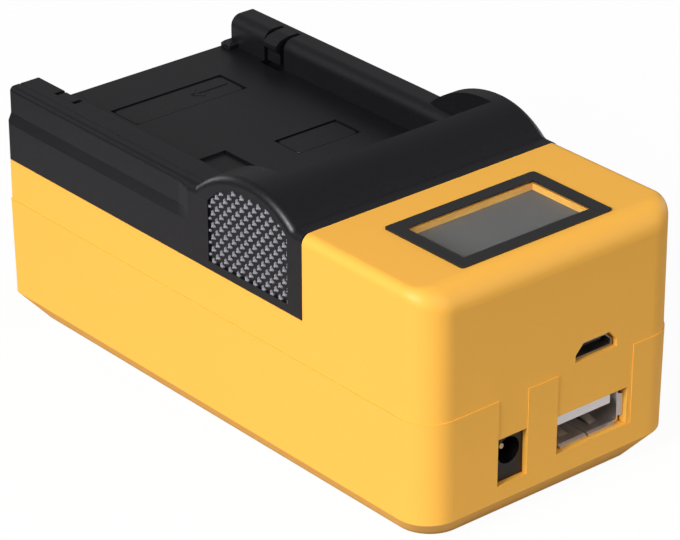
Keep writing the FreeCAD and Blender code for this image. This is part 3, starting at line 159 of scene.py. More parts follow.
def modify(piece: bpy.types.Object, kind: str, **settings: float | int | str) -> None:
    """Add one modifier and apply it.

    Args:
        piece: The object to finish.
        kind: The modifier's type.
        **settings: Its values by name.
    """
    take(piece)
    modifier = piece.modifiers.new(kind.lower(), kind)
    for name, value in settings.items():
        setattr(modifier, name, value)
    bpy.ops.object.modifier_apply(modifier=modifier.name)


def copied(piece: bpy.types.Object, name: str, place: Matrix) -> bpy.types.Object:
    """Copy a piece with a mesh of its own.

    Args:
        piece: The piece to copy.
        name: The copy's name.
        place: Where the copy's mesh goes.

    Returns:
        The copy.
    """
    mesh = piece.data.copy()
    mesh.transform(place)
    other = bpy.data.objects.new(name, mesh)
    bpy.context.scene.collection.objects.link(other)
    return other


def joined(pieces: list[bpy.types.Object], name: str) -> bpy.types.Object:
    """Join pieces into one.

    Args:
        pieces: What is joined.
        name: The name of the whole.

    Returns:
        The joined piece.
    """
    take(pieces[0])
    for piece in pieces:
        piece.select_set(True)
    bpy.ops.object.join()
    whole = bpy.context.object
    whole.name = name
    whole.data.name = name
    return whole


def finish_piece(piece: bpy.types.Object, material: bpy.types.Material) -> None:
    """Turn a moulding's faces outwards, dress it and let it ride on the battery plate.

    Args:
        piece: The finished piece.
        material: Its material.
    """
    take(piece)
    bpy.ops.object.mode_set(mode="EDIT")
    bpy.ops.mesh.select_all(action="SELECT")
    bpy.ops.mesh.normals_make_consistent(inside=False)
    bpy.ops.object.mode_set(mode="OBJECT")
    piece.data.materials.clear()
    piece.data.materials.append(material)
    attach(piece, Body.PLATE.value)


def new_material(name: str) -> tuple[bpy.types.Material, bpy.types.Node]:
    """Make an empty node material with a Principled shader.

    Args:
        name: The material's name.

    Returns:
        The material and its Principled node.
    """
    material = bpy.data.materials.new(name)
    material.use_nodes = True
    return material, material.node_tree.nodes["Principled BSDF"]


def new_group(name: str, inputs: dict[str, float], outputs: list[str]) -> bpy.types.NodeTree:
    """Start a shader node group with named number sockets.

    Args:
        name: The group's name.
        inputs: Input names with their default values.
        outputs: Output names.

    Returns:
        The group, without nodes.
    """
    group = bpy.data.node_groups.new(name, "ShaderNodeTree")
    kind = "NodeSocketFloat"
    for label, value in inputs.items():
        socket = group.interface.new_socket(name=label, in_out="INPUT", socket_type=kind)
        socket.default_value = value
    for label in outputs:
        group.interface.new_socket(name=label, in_out="OUTPUT", socket_type=kind)
    return group


def place_group(
    material: bpy.types.Material, group: bpy.types.NodeTree, values: dict[str, float]
) -> bpy.types.Node:
    """Put a node group into a material.

    Args:
        material: The material.
        group: The group.
        values: Values for its inputs.

    Returns:
        The group's node.
    """
    node = material.node_tree.nodes.new("ShaderNodeGroup")
    node.node_tree = group
    for label, value in values.items():
        node.inputs[label].default_value = value
    return node


def blend(
    material: bpy.types.Material, mask: bpy.types.NodeSocket, low: Colour, high: Colour
) -> bpy.types.NodeSocket:
    """Blend two colours by a mask.

    Args:
        material: The material.
        mask: The value from 0 to 1.
        low: Colour at 0.
        high: Colour at 1.

    Returns:
        The blended colour's socket.
    """
    ramp = material.node_tree.nodes.new("ShaderNodeValToRGB")
    ramp.color_ramp.elements[0].color = (*low, 1.0)
    ramp.color_ramp.elements[1].color = (*high, 1.0)
    material.node_tree.links.new(mask, ramp.inputs["Fac"])
    return ramp.outputs["Color"]


def spread(
    material: bpy.types.Material, value: bpy.types.NodeSocket, low: float, high: float
) -> bpy.types.NodeSocket:
    """Map a value from 0 to 1 onto a range.

    Args:
        material: The material.
        value: The value's socket.
        low: Result at 0.
        high: Result at 1.

    Returns:
        The mapped value's socket.
    """
    node = material.node_tree.nodes.new("ShaderNodeMapRange")
    node.inputs["To Min"].default_value = low
    node.inputs["To Max"].default_value = high
    material.node_tree.links.new(value, node.inputs["Value"])
    return node.outputs["Result"]


def emboss(
    material: bpy.types.Material,
    shader: bpy.types.Node,
    height: bpy.types.NodeSocket,
    strength: float,
    depth: float,
) -> None:
    """Let a height roughen the surface.

    Args:
        material: The material.
        shader: Its Principled node.
        height: The height's socket.
        strength: How strong the effect is, from 0 to 1.
        depth: How deep the texture is.
    """
    bump = material.node_tree.nodes.new("ShaderNodeBump")
    bump.inputs["Strength"].default_value = strength
    bump.inputs["Distance"].default_value = depth
    material.node_tree.links.new(height, bump.inputs["Height"])
    material.node_tree.links.new(bump.outputs["Normal"], shader.inputs["Normal"])


def math_value(
    tree: bpy.types.NodeTree,
    operation: str,
    first: bpy.types.NodeSocket,
    second: bpy.types.NodeSocket | float = 0.0,
) -> bpy.types.NodeSocket:
    """Work out a value with a Math node.

    Args:
        tree: The node tree.
        operation: The node's operation.
        first: The first value's socket.
        second: The second value's socket, or a number.

    Returns:
        The result's socket.
    """
    node = tree.nodes.new("ShaderNodeMath")
    node.operation = operation
    tree.links.new(first, node.inputs[0])
    if isinstance(second, float):
        node.inputs[1].default_value = second
    else:
        tree.links.new(second, node.inputs[1])
    return node.outputs["Value"]


def mixed_shader(
    tree: bpy.types.NodeTree,
    share: bpy.types.NodeSocket,
    first: bpy.types.NodeSocket,
    second: bpy.types.NodeSocket,
) -> bpy.types.NodeSocket:
    """Mix two shaders.

    Args:
        tree: The node tree.
        share: How much the second shader counts, from 0 to 1.
        first: The first shader's socket.
        second: The second shader's socket.

    Returns:
        The mixed shader's socket.
    """
    node = tree.nodes.new("ShaderNodeMixShader")
    for source, socket in zip((share, first, second), node.inputs):
        tree.links.new(source, socket)
    return node.outputs["Shader"]


def grain_group() -> bpy.types.NodeTree:
    """Build the spark-eroded mould grain once.

    Returns:
        A group with inputs Scale and Patch Scale and outputs Height, Patches and Specks.
    """
    group = bpy.data.node_groups.get("mould_grain")
    if group:
        return group
    inputs = {"Scale": 3000.0, "Patch Scale": 60.0}
    group = new_group("mould_grain", inputs, ["Height", "Patches", "Specks"])
    nodes, links = group.nodes, group.links
    source = nodes.new("NodeGroupInput")
    sink = nodes.new("NodeGroupOutput")
    place = nodes.new("ShaderNodeTexCoord")
    fine = nodes.new("ShaderNodeTexNoise")
    fine.inputs["Detail"].default_value = 3.0
    fine.inputs["Roughness"].default_value = 0.6
    coarse = nodes.new("ShaderNodeTexNoise")
    coarse.inputs["Detail"].default_value = 2.0
    for texture, name in ((fine, "Scale"), (coarse, "Patch Scale")):
        links.new(place.outputs["Object"], texture.inputs["Vector"])
        links.new(source.outputs[name], texture.inputs["Scale"])
    specks = nodes.new("ShaderNodeMapRange")
    specks.inputs["From Min"].default_value = 0.52
    specks.inputs["From Max"].default_value = 0.75
    links.new(fine.outputs["Fac"], specks.inputs["Value"])
    links.new(fine.outputs["Fac"], sink.inputs["Height"])
    links.new(coarse.outputs["Fac"], sink.inputs["Patches"])
    links.new(specks.outputs["Result"], sink.inputs["Specks"])
    return group


def streak_group(axis: Axis) -> bpy.types.NodeTree:
    """Build drawn-metal streaks along one axis once.

    Args:
        axis: The axis that the streaks run along.

    Returns:
        A group with input Scale and output Streaks.
    """
    name = f"drawn_streaks_{axis.name.lower()}"
    group = bpy.data.node_groups.get(name)
    if group:
        return group
    group = new_group(name, {"Scale": 2500.0}, ["Streaks"])
    nodes, links = group.nodes, group.links
    source = nodes.new("NodeGroupInput")
    sink = nodes.new("NodeGroupOutput")
    place = nodes.new("ShaderNodeTexCoord")
    stretch = nodes.new("ShaderNodeMapping")
    scale = [1.0, 1.0, 1.0]
    scale[axis.value] = STREAK_STRETCH
    stretch.inputs["Scale"].default_value = scale
    noise = nodes.new("ShaderNodeTexNoise")
    noise.inputs["Detail"].default_value = 2.0
    links.new(place.outputs["Object"], stretch.inputs["Vector"])
    links.new(stretch.outputs["Vector"], noise.inputs["Vector"])
    links.new(source.outputs["Scale"], noise.inputs["Scale"])
    links.new(noise.outputs["Fac"], sink.inputs["Streaks"])
    return group


def turns_group() -> bpy.types.NodeTree:
    """Build the bands of a wound wire or tape once.

    Returns:
        A group with inputs Scale and Wobble and output Bands.
    """
    group = bpy.data.node_groups.get("wound_turns")
    if group:
        return group
    group = new_group("wound_turns", {"Scale": 400.0, "Wobble": 0.6}, ["Bands"])
    nodes, links = group.nodes, group.links
    source = nodes.new("NodeGroupInput")
    sink = nodes.new("NodeGroupOutput")
    place = nodes.new("ShaderNodeTexCoord")
    wave = nodes.new("ShaderNodeTexWave")
    wave.bands_direction = "Z"
    wave.inputs["Detail"].default_value = 1.0
    links.new(place.outputs["Object"], wave.inputs["Vector"])
    links.new(source.outputs["Scale"], wave.inputs["Scale"])
    links.new(source.outputs["Wobble"], wave.inputs["Distortion"])
    links.new(wave.outputs["Fac"], sink.inputs["Bands"])
    return group


@dataclass(frozen=True)
class MouldedPlastic:
    """Injection-moulded plastic with a fine eroded grain."""

    name: str
    colour: Colour
    shade: Colour
    roughness: float
    specular: float = 0.5
    gloss_tint: Colour = (1.0, 1.0, 1.0)
    roughness_play: float = 0.05
    grain_scale: float = 3000.0
    grain_depth: float = 0.00002
    grain_strength: float = 0.25
    patch_scale: float = 60.0

    def build(self) -> bpy.types.Material:
        """Make the material.

        Returns:
            The finished material.
        """
        material, shader = new_material(self.name)
        links = material.node_tree.links
        scales = {"Scale": self.grain_scale, "Patch Scale": self.patch_scale}
        grain = place_group(material, grain_group(), scales)
        colour = blend(material, grain.outputs["Patches"], self.shade, self.colour)
        links.new(colour, shader.inputs["Base Color"])
        rough = spread(
            material,
            grain.outputs["Specks"],
            self.roughness + self.roughness_play,
            self.roughness - self.roughness_play,
        )
        links.new(rough, shader.inputs["Roughness"])
        shader.inputs["Specular IOR Level"].default_value = self.specular
        shader.inputs["Specular Tint"].default_value = (*self.gloss_tint, 1.0)
        emboss(material, shader, grain.outputs["Height"], self.grain_strength, self.grain_depth)
        return material


@dataclass(frozen=True)
class DrawnMetal:
    """Plated or bright sheet metal with faint streaks."""

    name: str
    colour: Colour
    roughness: float
    axis: Axis = Axis.Y
    streak_scale: float = 2500.0
    dull: float = 0.86
    roughness_play: float = 0.4
    grain_strength: float = 0.15
    grain_depth: float = 0.00001

    def build(self) -> bpy.types.Material:
        """Make the material.

        Returns:
            The finished material.
        """
        material, shader = new_material(self.name)
        links = material.node_tree.links
        group = place_group(material, streak_group(self.axis), {"Scale": self.streak_scale})
        streaks = group.outputs["Streaks"]
        dull = tuple(self.dull * part for part in self.colour)
        links.new(blend(material, streaks, dull, self.colour), shader.inputs["Base Color"])
        play = self.roughness * self.roughness_play
        rough = spread(material, streaks, self.roughness - play, self.roughness + play)
        links.new(rough, shader.inputs["Roughness"])
        shader.inputs["Metallic"].default_value = 1.0
        emboss(material, shader, streaks, self.grain_strength, self.grain_depth)
        return material


@dataclass(frozen=True)
class ClearPane:
    """Clear window pane, polished on both faces."""

    name: str
    colour: Colour
    passing: float = 0.86
    roughness: float = 0.02
    ior: float = 1.49
    grain_scale: float = 400.0
    patch_scale: float = 60.0

    def build(self) -> bpy.types.Material:
        """Make the material, which lets the lamps shine through the pane.

        Returns:
            The finished material.
        """
        material, shader = new_material(self.name)
        tree = material.node_tree
        path = tree.nodes.new("ShaderNodeLightPath")
        passing = tree.nodes.new("ShaderNodeBsdfTransparent")
        passing.inputs["Color"].default_value = (*(self.passing,) * 3, 1.0)
        surface = mixed_shader(
            tree, path.outputs["Is Shadow Ray"], shader.outputs["BSDF"], passing.outputs["BSDF"]
        )
        tree.links.new(surface, tree.nodes["Material Output"].inputs["Surface"])
        scales = {"Scale": self.grain_scale, "Patch Scale": self.patch_scale}
        grain = place_group(material, grain_group(), scales)
        smudge = spread(material, grain.outputs["Patches"], 0.0, 2.0 * self.roughness)
        tree.links.new(smudge, shader.inputs["Roughness"])
        shader.inputs["Base Color"].default_value = (*self.colour, 1.0)
        shader.inputs["IOR"].default_value = self.ior
        shader.inputs["Transmission Weight"].default_value = 1.0
        return material


@dataclass(frozen=True)
class PrintedBoard:
    """Glass-fibre board with tracks under a solder mask."""

    name: str
    mask_colour: Colour = (0.012, 0.085, 0.03)
    track_colour: Colour = (0.03, 0.17, 0.055)
    track_scale: float = 260.0
    track_edge: Pair = (0.44, 0.48)
    roughness: Pair = (0.28, 0.4)
    relief_strength: float = 0.3
    relief_depth: float = 0.00004

    def build(self) -> bpy.types.Material:
        """Make the material.

        Returns:
            The finished material.
        """
        material, shader = new_material(self.name)
        nodes, links = material.node_tree.nodes, material.node_tree.links
        place = nodes.new("ShaderNodeTexCoord")
        cells = nodes.new("ShaderNodeTexVoronoi")
        cells.distance = "CHEBYCHEV"
        cells.feature = "F1"
        cells.inputs["Scale"].default_value = self.track_scale
        edge = nodes.new("ShaderNodeMapRange")
        edge.inputs["From Min"].default_value = self.track_edge[0]
        edge.inputs["From Max"].default_value = self.track_edge[1]
        links.new(place.outputs["Object"], cells.inputs["Vector"])
        links.new(cells.outputs["Distance"], edge.inputs["Value"])
        tracks = edge.outputs["Result"]
        colour = blend(material, tracks, self.mask_colour, self.track_colour)
        links.new(colour, shader.inputs["Base Color"])
        links.new(spread(material, tracks, *self.roughness), shader.inputs["Roughness"])
        emboss(material, shader, tracks, self.relief_strength, self.relief_depth)
        return material


@dataclass(frozen=True)
class Winding:
    """Wound tape or wire with its turns showing."""

    name: str
    colour: Colour
    gap_colour: Colour
    roughness: float
    metal: float
    turn_scale: float
    depth: float
    wobble: float = 0.6
    gap_roughness: float = 0.15
    relief_strength: float = 0.6

    def build(self) -> bpy.types.Material:
        """Make the material.

        Returns:
            The finished material.
        """
        material, shader = new_material(self.name)
        links = material.node_tree.links
        values = {"Scale": self.turn_scale, "Wobble": self.wobble}
        bands = place_group(material, turns_group(), values).outputs["Bands"]
        colour = blend(material, bands, self.gap_colour, self.colour)
        links.new(colour, shader.inputs["Base Color"])
        rough = spread(material, bands, self.roughness + self.gap_roughness, self.roughness)
        links.new(rough, shader.inputs["Roughness"])
        shader.inputs["Metallic"].default_value = self.metal
        emboss(material, shader, bands, self.relief_strength, self.depth)
        return material


@dataclass(frozen=True)
class CanSleeve:
    """Aluminium can in a shrunk sleeve that leaves its ends bare."""

    name: str
    axis: Axis
    metal_colour: Colour = (0.72, 0.72, 0.74)
    sleeve_colour: Colour = (0.018, 0.02, 0.035)
    end_slope: float = 0.8
    roughness: Pair = (0.25, 0.4)
    grain_scale: float = 1500.0
    patch_scale: float = 300.0
    grain_strength: float = 0.1
    grain_depth: float = 0.00001

    def build(self) -> bpy.types.Material:
        """Make the material.

        Returns:
            The finished material.
        """
        material, shader = new_material(self.name)
        tree = material.node_tree
        place = tree.nodes.new("ShaderNodeTexCoord")
        parts = tree.nodes.new("ShaderNodeSeparateXYZ")
        tree.links.new(place.outputs["Normal"], parts.inputs["Vector"])
        slope = math_value(tree, "ABSOLUTE", parts.outputs[self.axis.value])
        end = math_value(tree, "GREATER_THAN", slope, self.end_slope)
        scales = {"Scale": self.grain_scale, "Patch Scale": self.patch_scale}
        grain = place_group(material, grain_group(), scales)
        colour = blend(material, end, self.sleeve_colour, self.metal_colour)
        tree.links.new(colour, shader.inputs["Base Color"])
        tree.links.new(end, shader.inputs["Metallic"])
        rough = spread(material, grain.outputs["Patches"], *self.roughness)
        tree.links.new(rough, shader.inputs["Roughness"])
        emboss(material, shader, grain.outputs["Height"], self.grain_strength, self.grain_depth)
        return material


YELLOW = MouldedPlastic(
    "yellow_case", (0.96, 0.48, 0.066), (0.94, 0.47, 0.064), 0.48, specular=0.45, grain_strength=0.35
)
BLACK = MouldedPlastic(
    "black_plastic",
    (0.0052, 0.005, 0.0062),
    (0.004, 0.0039, 0.005),
    0.32,
    gloss_tint=(0.96, 0.93, 1.0),
    roughness_play=0.08,
    grain_strength=0.4,
)
BEZEL = MouldedPlastic("bezel_black", (0.012, 0.012, 0.013), (0.01, 0.01, 0.011), 0.3)
LCD = MouldedPlastic(
    "display_glass", (0.126, 0.12, 0.123), (0.116, 0.11, 0.113), 0.3, specular=0.1, grain_strength=0.05
)
WHITE = MouldedPlastic("white_plastic", (0.93, 0.91, 0.95), (0.9, 0.88, 0.92), 0.4)
FERRITE = MouldedPlastic(
    "ferrite", (0.05, 0.05, 0.055), (0.035, 0.035, 0.04), 0.6, grain_depth=0.00005
)
BOARD = PrintedBoard("circuit_board")
TAPE = Winding("winding_tape", (0.72, 0.5, 0.07), (0.5, 0.33, 0.04), 0.3, 0.0, 160.0, 0.00006)
COPPER = Winding("copper_wire", (0.72, 0.3, 0.13), (0.25, 0.08, 0.03), 0.25, 1.0, 420.0, 0.0002)
STEEL = DrawnMetal("nickel_steel", (0.78, 0.74, 0.72), 0.34)
# Darker copy of the nickel steel for the micro-USB shell: painted shade inside the socket's opening.
SHADED_STEEL = DrawnMetal("socket_steel_painted_shade", (0.36, 0.34, 0.33), 0.4)
BRASS = DrawnMetal("contact_brass", (0.85, 0.62, 0.3), 0.22)
CAN = CanSleeve("can_aluminium", Axis.Z)
LYING_CAN = CanSleeve("lying_can_aluminium", Axis.Y)
PANE = ClearPane("display_pane", (0.82, 0.86, 0.84))
# Light grey finish of the grip studs: a painted highlight that stands in for the lamps' glint on their
# upper facets.
STUD_PAINTED_SHEEN = MouldedPlastic(
    "grip_painted_sheen", (0.33, 0.325, 0.36), (0.28, 0.275, 0.31), 0.45, grain_strength=0.1
)
SLOT_FINISHES = (
    YELLOW, BLACK, BEZEL, LCD, WHITE, FERRITE, BOARD, TAPE, COPPER, STEEL, BRASS, CAN, PANE
)
NODE_FINISHES = {"bulk_capacitor": LYING_CAN, "micro_usb_shell": SHADED_STEEL}


@dataclass
class Dressing:
    """Gives every carried-over node the material of its slot in the record."""

    frame: dict

    def dress(self) -> dict[str, bpy.types.Material]:
        """Assign one finished material to each node.

        Returns:
            The materials by the name of their slot.
        """
        for plain in list(bpy.data.materials):
            bpy.data.materials.remove(plain)
        by_slot = {finish.name: finish.build() for finish in SLOT_FINISHES}
        by_node = {node: finish.build() for node, finish in NODE_FINISHES.items()}
        slots = {entry["node"]: entry["material_slot"] for entry in self.frame["record"]["subparts"]}
        for name, node in self.frame["nodes"].items():
            node.data.materials.clear()
            node.data.materials.append(by_node.get(name, by_slot[slots[name]]))
        log.info("dressed %d nodes", len(self.frame["nodes"]))
        return by_slot


@dataclass
class GripStuds:
    """Pads with small three-lobed studs that cover the grip windows in both ends of the hump."""

    pad_material: bpy.types.Material
    # The studs' light grey finish is a painted highlight.
    stud_sheen_material: bpy.types.Material
    floor_x_mm: float = 24.15
    pad_mm: float = 0.48
    fit_mm: float = 0.03
    sink_mm: float = 0.03
    height_mm: float = 0.3
    lobe_mm: float = 0.52
    waist_mm: float = 0.21
    lobe_step_deg: float = 120.0
    lobe_half_deg: float = 30.0
    taper: float = 0.78
    turn_deg: float = 18.0
    row_pitch_mm: float = 1.95
    column_pitch_mm: float = 1.97
    phase_mm: Pair = (-9.89, 34.97)
    rows: range = range(-8, 9)
    columns: range = range(-6, 8)
    axis_y_mm: float = -10.883
    window_y_mm: Pair = (-19.703, -1.203)
    window_foot_mm: float = 28.9
    arc_z_mm: float = 29.78
    arc_radius_mm: float = 13.3
    overhang_mm: float = 0.35
    arc_edge_mm: float = 0.25

    def places(self) -> list[Pair]:
        """List the studs' places on the window.

        Returns:
            Pairs of y and z in millimetres: a square lattice with a stud in each square.
        """
        found = []
        for half in (0.0, 0.5):
            for row in self.rows:
                for column in self.columns:
                    y = self.phase_mm[0] + (row + half) * self.row_pitch_mm
                    z = self.phase_mm[1] + (column + half) * self.column_pitch_mm
                    if self.inside(y, z):
                        found.append((y, z))
        return found

    def inside(self, y: float, z: float) -> bool:
        """Say whether a stud's centre lies in the window.

        Args:
            y: Place along the charger in millimetres.
            z: Height in millimetres.

        Returns:
            True up to a little beyond the straight edges, which cut studs, and inside the arc.
        """
        low_y, high_y = self.window_y_mm
        across = low_y - self.overhang_mm < y < high_y + self.overhang_mm
        reach = math.hypot(y - self.axis_y_mm, z - self.arc_z_mm)
        above = z > self.window_foot_mm - self.overhang_mm
        return across and above and reach < self.arc_radius_mm - self.arc_edge_mm

    def between_lobes(self, place: Vector) -> bool:
        """Say whether a corner of the stud's outline lies between two lobes.

        Args:
            place: The corner's place.

        Returns:
            True where the outline is drawn in to the waist.
        """
        from_lobe = (math.degrees(math.atan2(place.y, place.x)) - 90.0) % self.lobe_step_deg
        return self.lobe_half_deg < from_lobe < self.lobe_step_deg - self.lobe_half_deg

    def stud(self) -> bpy.types.Object:
        """Shape one stud that stands up along z.

        Returns:
            The stud, a tapered star with one of its three lobes towards y.
        """
        deselect_all()
        bpy.ops.mesh.primitive_circle_add(
            vertices=12, radius=self.lobe_mm * MM, fill_type="NGON", rotation=(0.0, 0.0, math.pi / 12)
        )
        stud = bpy.context.object
        settle(stud)
        middle = (0.0, 0.0, 0.0)
        waist = self.waist_mm / self.lobe_mm
        select_vertices(stud, self.between_lobes)
        bpy.ops.transform.resize(value=(waist, waist, 1.0), center_override=middle)
        raise_selection((0.0, 0.0, self.height_mm * MM))
        bpy.ops.transform.resize(value=(self.taper, self.taper, 1.0), center_override=middle)
        bpy.ops.object.mode_set(mode="OBJECT")
        return stud

    def trim(self, piece: bpy.types.Object) -> None:
        """Cut a piece off at the window's foot and at its two upright edges.

        Args:
            piece: The pad's disc, or a field of studs.
        """
        low_y, high_y = self.window_y_mm
        cuts = (
            ((0.0, (low_y + self.fit_mm) * MM, 0.0), (0.0, -1.0, 0.0)),
            ((0.0, (high_y - self.fit_mm) * MM, 0.0), (0.0, 1.0, 0.0)),
            ((0.0, 0.0, (self.window_foot_mm + self.fit_mm) * MM), (0.0, 0.0, -1.0)),
        )
        take(piece)
        bpy.ops.object.mode_set(mode="EDIT")
        for place, outward in cuts:
            bpy.ops.mesh.select_all(action="SELECT")
            bpy.ops.mesh.bisect(plane_co=place, plane_no=outward, clear_outer=True, use_fill=True)
        bpy.ops.object.mode_set(mode="OBJECT")

    def pad(self, side: Side) -> bpy.types.Object:
        """Cut the pad that fills the window's floor from a disc.

        Args:
            side: The end of the hump.

        Returns:
            The pad.
        """
        deselect_all()
        x = side.value * (self.floor_x_mm - self.sink_mm) * MM
        bpy.ops.mesh.primitive_circle_add(
            vertices=96,
            radius=(self.arc_radius_mm - self.fit_mm) * MM,
            fill_type="NGON",
            location=(x, self.axis_y_mm * MM, self.arc_z_mm * MM),
            rotation=(0.0, math.pi / 2, 0.0),
        )
        pad = bpy.context.object
        settle(pad)
        self.trim(pad)
        bpy.ops.object.mode_set(mode="EDIT")
        raise_selection((side.value * (self.pad_mm + self.sink_mm) * MM, 0.0, 0.0))
        bpy.ops.object.mode_set(mode="OBJECT")
        return pad

    def build(self) -> list[bpy.types.Object]:
        """Cover both windows.

        Returns:
            The pad and the stud field of the left and of the right window.
        """
        stud = self.stud()
        fields = []
        lift = self.floor_x_mm + self.pad_mm - self.sink_mm
        for side in Side:
            sideways = Matrix.Rotation(math.pi / 2 * side.value, 4, "Z")
            upright = Matrix.Rotation(math.pi / 2, 4, "X")
            turn = Matrix.Rotation(math.radians(self.turn_deg) * -side.value, 4, "Z")
            stand = sideways @ upright @ turn
            copies = []
            for y, z in self.places():
                place = Matrix.Translation(Vector((side.value * lift, y, z)) * MM)
                copies.append(copied(stud, "stud", place @ stand))
            field = joined(copies, f"grip_studs_{side.name.lower()}")
            self.trim(field)
            finish_piece(field, self.stud_sheen_material)
            pad = self.pad(side)
            pad.name = f"grip_pad_{side.name.lower()}"
            finish_piece(pad, self.pad_material)
            log.info("%s: %d studs", field.name, len(copies))
            fields += [pad, field]
        bpy.data.objects.remove(stud)
        return fields


@dataclass
class PanelMarks:
    """Low tablets with rounded corners in the shallow panels of the bay floor, one with an arrow."""

    material: bpy.types.Material
    floor_z_mm: float = 35.0
    panel_depth_mm: float = 0.45
    rear_x_mm: Pair = (-11.7, 10.5)
    rear_y_mm: Pair = (33.8, 40.8)
    front_x_mm: Pair = (0.9, 13.45)
    front_y_mm: Pair = (9.047, 15.297)
    groove_mm: float = 0.32
    tablet_drop_mm: float = 0.14
    corner_mm: float = 0.9
    corner_steps: int = 5
    edge_mm: float = 0.1
    edge_steps: int = 2
    edge_angle_deg: float = 60.0
    arrow_tip_mm: Pair = (2.4, 37.6)
    arrow_length_mm: float = 6.8
    arrow_barb_mm: float = 1.3
    arrow_width_mm: float = 0.4
    arrow_rise_mm: float = 0.12

    def tablet(self, name: str, x: Pair, y: Pair) -> bpy.types.Object:
        """Fill one panel with a low tablet that leaves a groove round it.

        Args:
            name: The piece's name.
            x: The panel's low and high x in millimetres.
            y: The panel's low and high y in millimetres.

        Returns:
            The finished tablet.
        """
        deselect_all()
        floor = self.floor_z_mm - self.panel_depth_mm
        centre = Vector(((x[0] + x[1]) / 2, (y[0] + y[1]) / 2, floor)) * MM
        bpy.ops.mesh.primitive_plane_add(size=1.0, location=centre)
        tablet = bpy.context.object
        tablet.name = name
        gap = 2 * self.groove_mm
        tablet.scale = ((x[1] - x[0] - gap) * MM, (y[1] - y[0] - gap) * MM, 1.0)
        settle(tablet)
        bpy.ops.object.mode_set(mode="EDIT")
        bpy.ops.mesh.select_mode(type="VERT")
        bpy.ops.mesh.select_all(action="SELECT")
        bpy.ops.mesh.bevel(offset=self.corner_mm * MM, segments=self.corner_steps, affect="VERTICES")
        raise_selection((0.0, 0.0, (self.panel_depth_mm - self.tablet_drop_mm) * MM))
        bpy.ops.object.mode_set(mode="OBJECT")
        modify(
            tablet,
            "BEVEL",
            width=self.edge_mm * MM,
            segments=self.edge_steps,
            limit_method="ANGLE",
            angle_limit=math.radians(self.edge_angle_deg),
        )
        finish_piece(tablet, self.material)
        log.info("%s: %d faces", tablet.name, len(tablet.data.polygons))
        return tablet

    def stroke(self, start: Pair, end: Pair) -> bpy.types.Object:
        """Raise one straight stroke of the arrow.

        Args:
            start: One end's x and y in millimetres.
            end: The other end's x and y in millimetres.

        Returns:
            The stroke, tapered towards its top.
        """
        deselect_all()
        low = self.floor_z_mm - self.tablet_drop_mm - self.edge_mm
        rise = self.arrow_rise_mm + self.edge_mm
        along = Vector((end[0] - start[0], end[1] - start[1]))
        middle = Vector(((start[0] + end[0]) / 2, (start[1] + end[1]) / 2, low)) * MM
        bpy.ops.mesh.primitive_plane_add(size=1.0, location=middle)
        stroke = bpy.context.object
        stroke.scale = ((along.length + self.arrow_width_mm) * MM, self.arrow_width_mm * MM, 1.0)
        stroke.rotation_euler = (0.0, 0.0, math.atan2(along.y, along.x))
        settle(stroke)
        bpy.ops.object.mode_set(mode="EDIT")
        raise_selection((0.0, 0.0, rise * MM))
        bpy.ops.object.mode_set(mode="OBJECT")
        modify(
            stroke,
            "BEVEL",
            width=0.5 * self.edge_mm * MM,
            segments=1,
            limit_method="ANGLE",
            angle_limit=math.radians(self.edge_angle_deg),
        )
        return stroke

    def arrow(self) -> bpy.types.Object:
        """Raise a plain arrow on the rear tablet.

        Returns:
            The finished arrow, which points towards the left rail.
        """
        x, y = self.arrow_tip_mm
        barb = self.arrow_barb_mm
        strokes = [
            self.stroke((x, y), (x + self.arrow_length_mm, y)),
            self.stroke((x, y), (x + barb, y + barb)),
            self.stroke((x, y), (x + barb, y - barb)),
        ]
        arrow = joined(strokes, "panel_arrow")
        finish_piece(arrow, self.material)
        log.info("%s: %d faces", arrow.name, len(arrow.data.polygons))
        return arrow

    def build(self) -> list[bpy.types.Object]:
        """Make the tablets and the arrow.

        Returns:
            The finished marks.
        """
        rear = self.tablet("rear_panel_tablet", self.rear_x_mm, self.rear_y_mm)
        front = self.tablet("front_panel_tablet", self.front_x_mm, self.front_y_mm)
        return [rear, front, self.arrow()]


@dataclass(frozen=True)
class WhiteBackground:
    """Says which rays see the white background instead of the lit floor and the dim sky."""

    glossy_share: float = 0.05

    def mask(self, tree: bpy.types.NodeTree) -> bpy.types.NodeSocket:
        """Say how much of the white background a ray sees.

        Args:
            tree: The node tree of the floor's material or of the world.

        Returns:
            1 for camera rays and for what is seen straight through glass, a small share for glossy
            rays, and 0 once a ray has left a matt surface, so that no light is added to the object.
        """
        path = tree.nodes.new("ShaderNodeLightPath")
        mirrored = math_value(tree, "MULTIPLY", path.outputs["Is Glossy Ray"], self.glossy_share)
        unmirrored = math_value(tree, "LESS_THAN", path.outputs["Glossy Depth"], FIRST_BOUNCE)
        through = math_value(tree, "MULTIPLY", path.outputs["Is Transmission Ray"], unmirrored)
        indirect = math_value(tree, "MAXIMUM", through, mirrored)
        seen = math_value(tree, "MAXIMUM", path.outputs["Is Camera Ray"], indirect)
        not_matt = math_value(tree, "LESS_THAN", path.outputs["Diffuse Depth"], FIRST_BOUNCE)
        return math_value(tree, "MULTIPLY", seen, not_matt)


